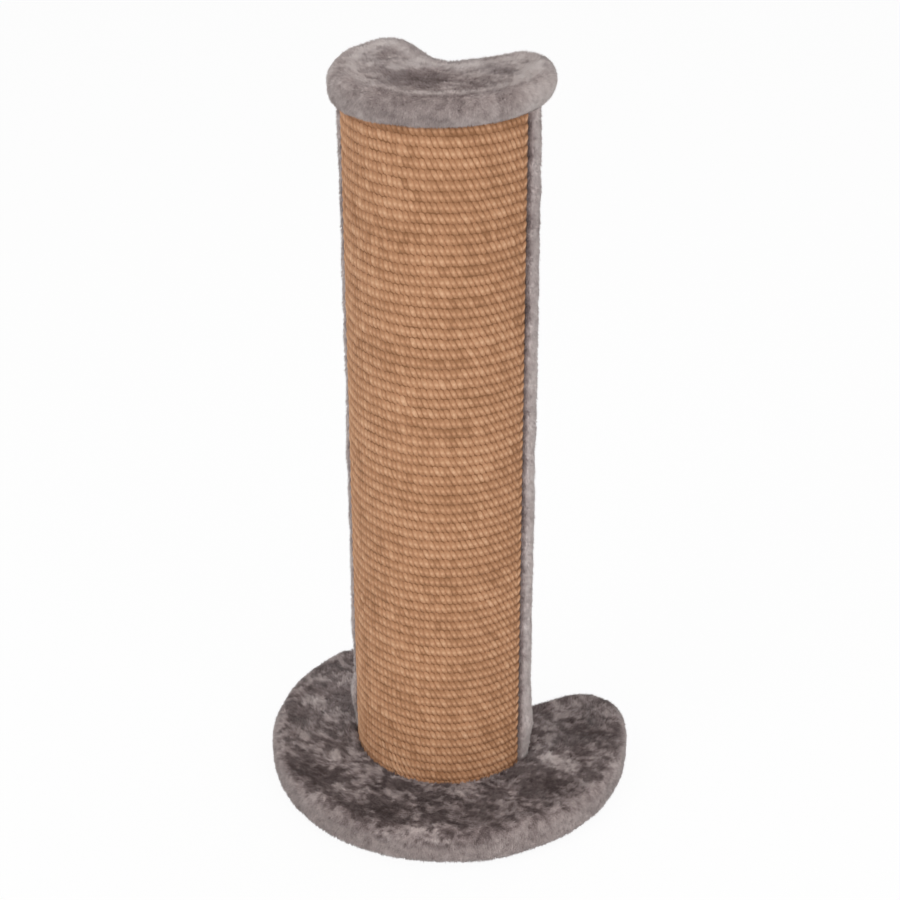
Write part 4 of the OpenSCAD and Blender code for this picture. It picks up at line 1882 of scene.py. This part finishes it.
@dataclass(frozen=True)
class Scratcher:
    """The whole object, from its floor lining to its top plate."""

    wall_corner_y: float = 24.493 * MM
    mat_r: float = 64 * MM
    mat_t: float = 3 * MM
    cover_r: float = 66.5 * MM
    corner_r: float = 13 * MM
    base_lobe_r: float = 30 * MM
    base_notch_r: float = 12.5 * MM
    base_hem: float = 17 * MM
    base_hub_y: float = -12 * MM
    top_lobe_r: float = 18.5 * MM
    top_notch_r: float = 7.5 * MM
    top_pitch: float = 1.5 * MM
    top_fold: float = 6.4 * MM
    top_hem_share: float = 0.38
    top_hub_y: float = 6 * MM
    washer_r: float = 9 * MM

    def column_shape(self) -> ColumnShape:
        """Sizes of the column, from the boxes of its mat and cover.

        Returns:
            The sizes.
        """
        low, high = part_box("sisal_mat")
        return ColumnShape(
            centre=(0.0, low.y + self.mat_r), mat_r=self.mat_r, cover_r=self.cover_r,
            corner_r=self.corner_r, back_y=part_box("column_cover")[1].y,
            arc_end=math.asin((high.x - low.x) / 2 / self.mat_r), low_z=low.z, high_z=high.z,
        )

    def plate_line(self, node: str, lobe_r: float, notch_r: float, **pitch: float) -> Outline:
        """Outline of a plate, from its box.

        Args:
            node: The plate's cover.
            lobe_r: Radius of its rear lobes.
            notch_r: Radius at the bottom of its notch.
            pitch: Distance between the outline's points, where it isn't the usual one.

        Returns:
            The outline, whose notch ends at the wall's corner.
        """
        low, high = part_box(node)
        edge_r = (high.x - low.x) / 2
        middle_y = low.y + edge_r
        return Outline(middle_y, edge_r, lobe_r, notch_r, self.wall_corner_y - middle_y, **pitch)

    def base(self, line: Outline, column: ColumnShape, plush: bpy.types.Material) -> None:
        """Cover the base, whose plush is pressed flat under the column.

        Args:
            line: The base's outline.
            column: The column's sizes.
            plush: The plush material.
        """
        # The face's low level is painted shade, as the base's face gets less light; the rim's
        # lighter tone is painted sheen.
        nap_and_shading = NapAndShading(
            level=0.2, patches=0.44, rim=0.67, patch_size=20 * MM, cover=0.1, shift=3.0,
            strokes=(
                Stroke(40, -48, 8, 5, 0.5), Stroke(27, -87, 13, 8, 0.34),
                Stroke(84, 12, 14, 8, 0.36), Stroke(-64, -38, 10, 7, 0.3),
                Stroke(-28, -66, 24, 5, 0.26), Stroke(-97, 42, 16, 9, 0.26),
                Stroke(-97, 14, 13, 9, 0.28), Stroke(-73, -62, 16, 12, -0.2),
                Stroke(-11, -80, 16, 8, -0.16), Stroke(52, -68, 26, 13, -0.24),
                Stroke(98, 52, 16, 18, -0.2), Stroke(98, -24, 14, 12, -0.2),
            ),
        )
        PlushPlate(
            "base_plush", "base_cover", "base_board", line, nap_and_shading, hub=(0.0, self.base_hub_y),
            hem_line=line.loop(self.base_hem), footprint=column.outside,
            pressed_z=column.low_z - 0.2 * MM, rim_band=(2 * MM, 9 * MM),
            rim_dip=Stroke(22, -98, 38, 38, 1.0), tuck=1.5 * MM,
        ).build(
            plush,
            face=Pile(60000, 3.2 * MM, 0.5 * MM, tilt=0.85, swirl=1.6, seed=101),
            rim=Pile(52000, 2.8 * MM, 0.5 * MM, tilt=0.8, swirl=0.7, seed=102),
            flat=(0.38, 0.33),
        )

    def top(self, line: Outline, column: ColumnShape, plush: bpy.types.Material) -> None:
        """Cover the top, whose plush has a painted highlight along its ridge and hangs a little on
        the left.

        Args:
            line: The top's outline.
            column: The column's sizes.
            plush: The plush material.
        """
        nap_and_shading = NapAndShading(
            level=0.6, patches=0.28, rim=0.72, patch_size=22 * MM, cover=0.06, shift=8.0,
            strokes=(
                Stroke(-4, -13, 34, 14, -0.2), Stroke(37, 14, 13, 10, -0.36),
                Stroke(58, 20, 14, 22, 0.7), Stroke(26, 3, 8, 10, 0.18),
                Stroke(-48, 4, 16, 20, 0.1),
            ),
            rim_strokes=(
                Stroke(14, -52, 34, 12, -0.08), Stroke(69, 8, 14, 34, 0.28),
                Stroke(-66, -8, 12, 26, 0.22), Stroke(-32, -44, 20, 10, 0.06),
            ),
        )
        hub = (0.0, self.top_hub_y)
        share = self.top_hem_share
        hem_line = line.loop(self.top_fold) * share + np.array(hub) * (1 - share)
        PlushPlate(
            "top_plush", "top_cover", "top_board", line, nap_and_shading, hub=hub, hem_line=hem_line,
            footprint=column.outside, pressed_z=None, rim_band=(8 * MM, 13 * MM),
            # Painted highlight 14.5 mm in from the edge and painted shade at 8.5 mm.
            ridge_light_and_shade=(Hump(14.5 * MM, 4 * MM, 0.3), Hump(8.5 * MM, 3 * MM, -0.1)),
            tuck=5 * MM, sag=2.5 * MM,
        ).build(
            plush,
            face=Pile(30000, 3.0 * MM, 0.48 * MM, tilt=0.85, swirl=1.6, seed=103),
            rim=Pile(38000, 2.8 * MM, 0.48 * MM, tilt=0.8, swirl=0.7, seed=104),
            flat=(0.22, 0.2),
        )

    def bolts(self) -> list[tuple[float, float]]:
        """Find the three bolts from the washers' box.

        Returns:
            Their places seen from above.
        """
        low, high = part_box("base_washers")
        side_x, side_y = high.x - self.washer_r, high.y - self.washer_r
        return [(0.0, low.y + self.washer_r), (-side_x, side_y), (side_x, side_y)]

    def build(self) -> None:
        """Make every soft piece and dress the hard ones."""
        plush = PlushFinish().material()
        yarn = SisalFinish(
            "sisal_yarn", tint(136, 92, 58), tint(188, 139, 103), tint(222, 178, 142)
        ).material()
        # The weft's colours are darker than the yarn's as painted shade in the grooves.
        weft_with_groove_shade = SisalFinish(
            "sisal_weft_shaded", tint(130, 89, 58), tint(160, 115, 81), tint(184, 140, 104)
        ).material()
        column = self.column_shape()
        base_line = self.plate_line("base_cover", self.base_lobe_r, self.base_notch_r)
        top_line = self.plate_line(
            "top_cover", self.top_lobe_r, self.top_notch_r, pitch=self.top_pitch
        )
        self.base(base_line, column, plush)
        self.top(top_line, column, plush)
        column_h = column.high_z - column.low_z
        column_nap = NapAndShading(level=0.8, patches=0.12, patch_size=30 * MM, cover=0.0, shift=15.0)
        ColumnPlush("column_plush", "column_cover", column, column_nap).build(
            plush,
            sides=Pile(52000, 2.6 * MM, 0.5 * MM, tilt=0.9, swirl=0.5, seed=105),
            back=Pile(56000, 2.8 * MM, 0.6 * MM, tilt=0.9, swirl=0.6, seed=106),
            flat=(0.235, column_h),
        )
        mat_w = 2 * column.arc_end * (column.mat_r - self.mat_t / 2)
        mat = SisalMat("sisal_weave", "sisal_mat", column)
        mat.build(yarn, weft_with_groove_shade, (mat_w, column_h))
        lining = Lining("floor_lining", "base_lining", base_line, self.bolts())
        lining.build(LiningFinish().material(), (0.228, 0.173))
        HardParts().dress()


def main() -> None:
    """Build the studio and the object."""
    logging.basicConfig(level=logging.INFO, format="%(message)s")
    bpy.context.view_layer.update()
    Studio().build()
    Scratcher().build()


if __name__ == "__main__":
    main()
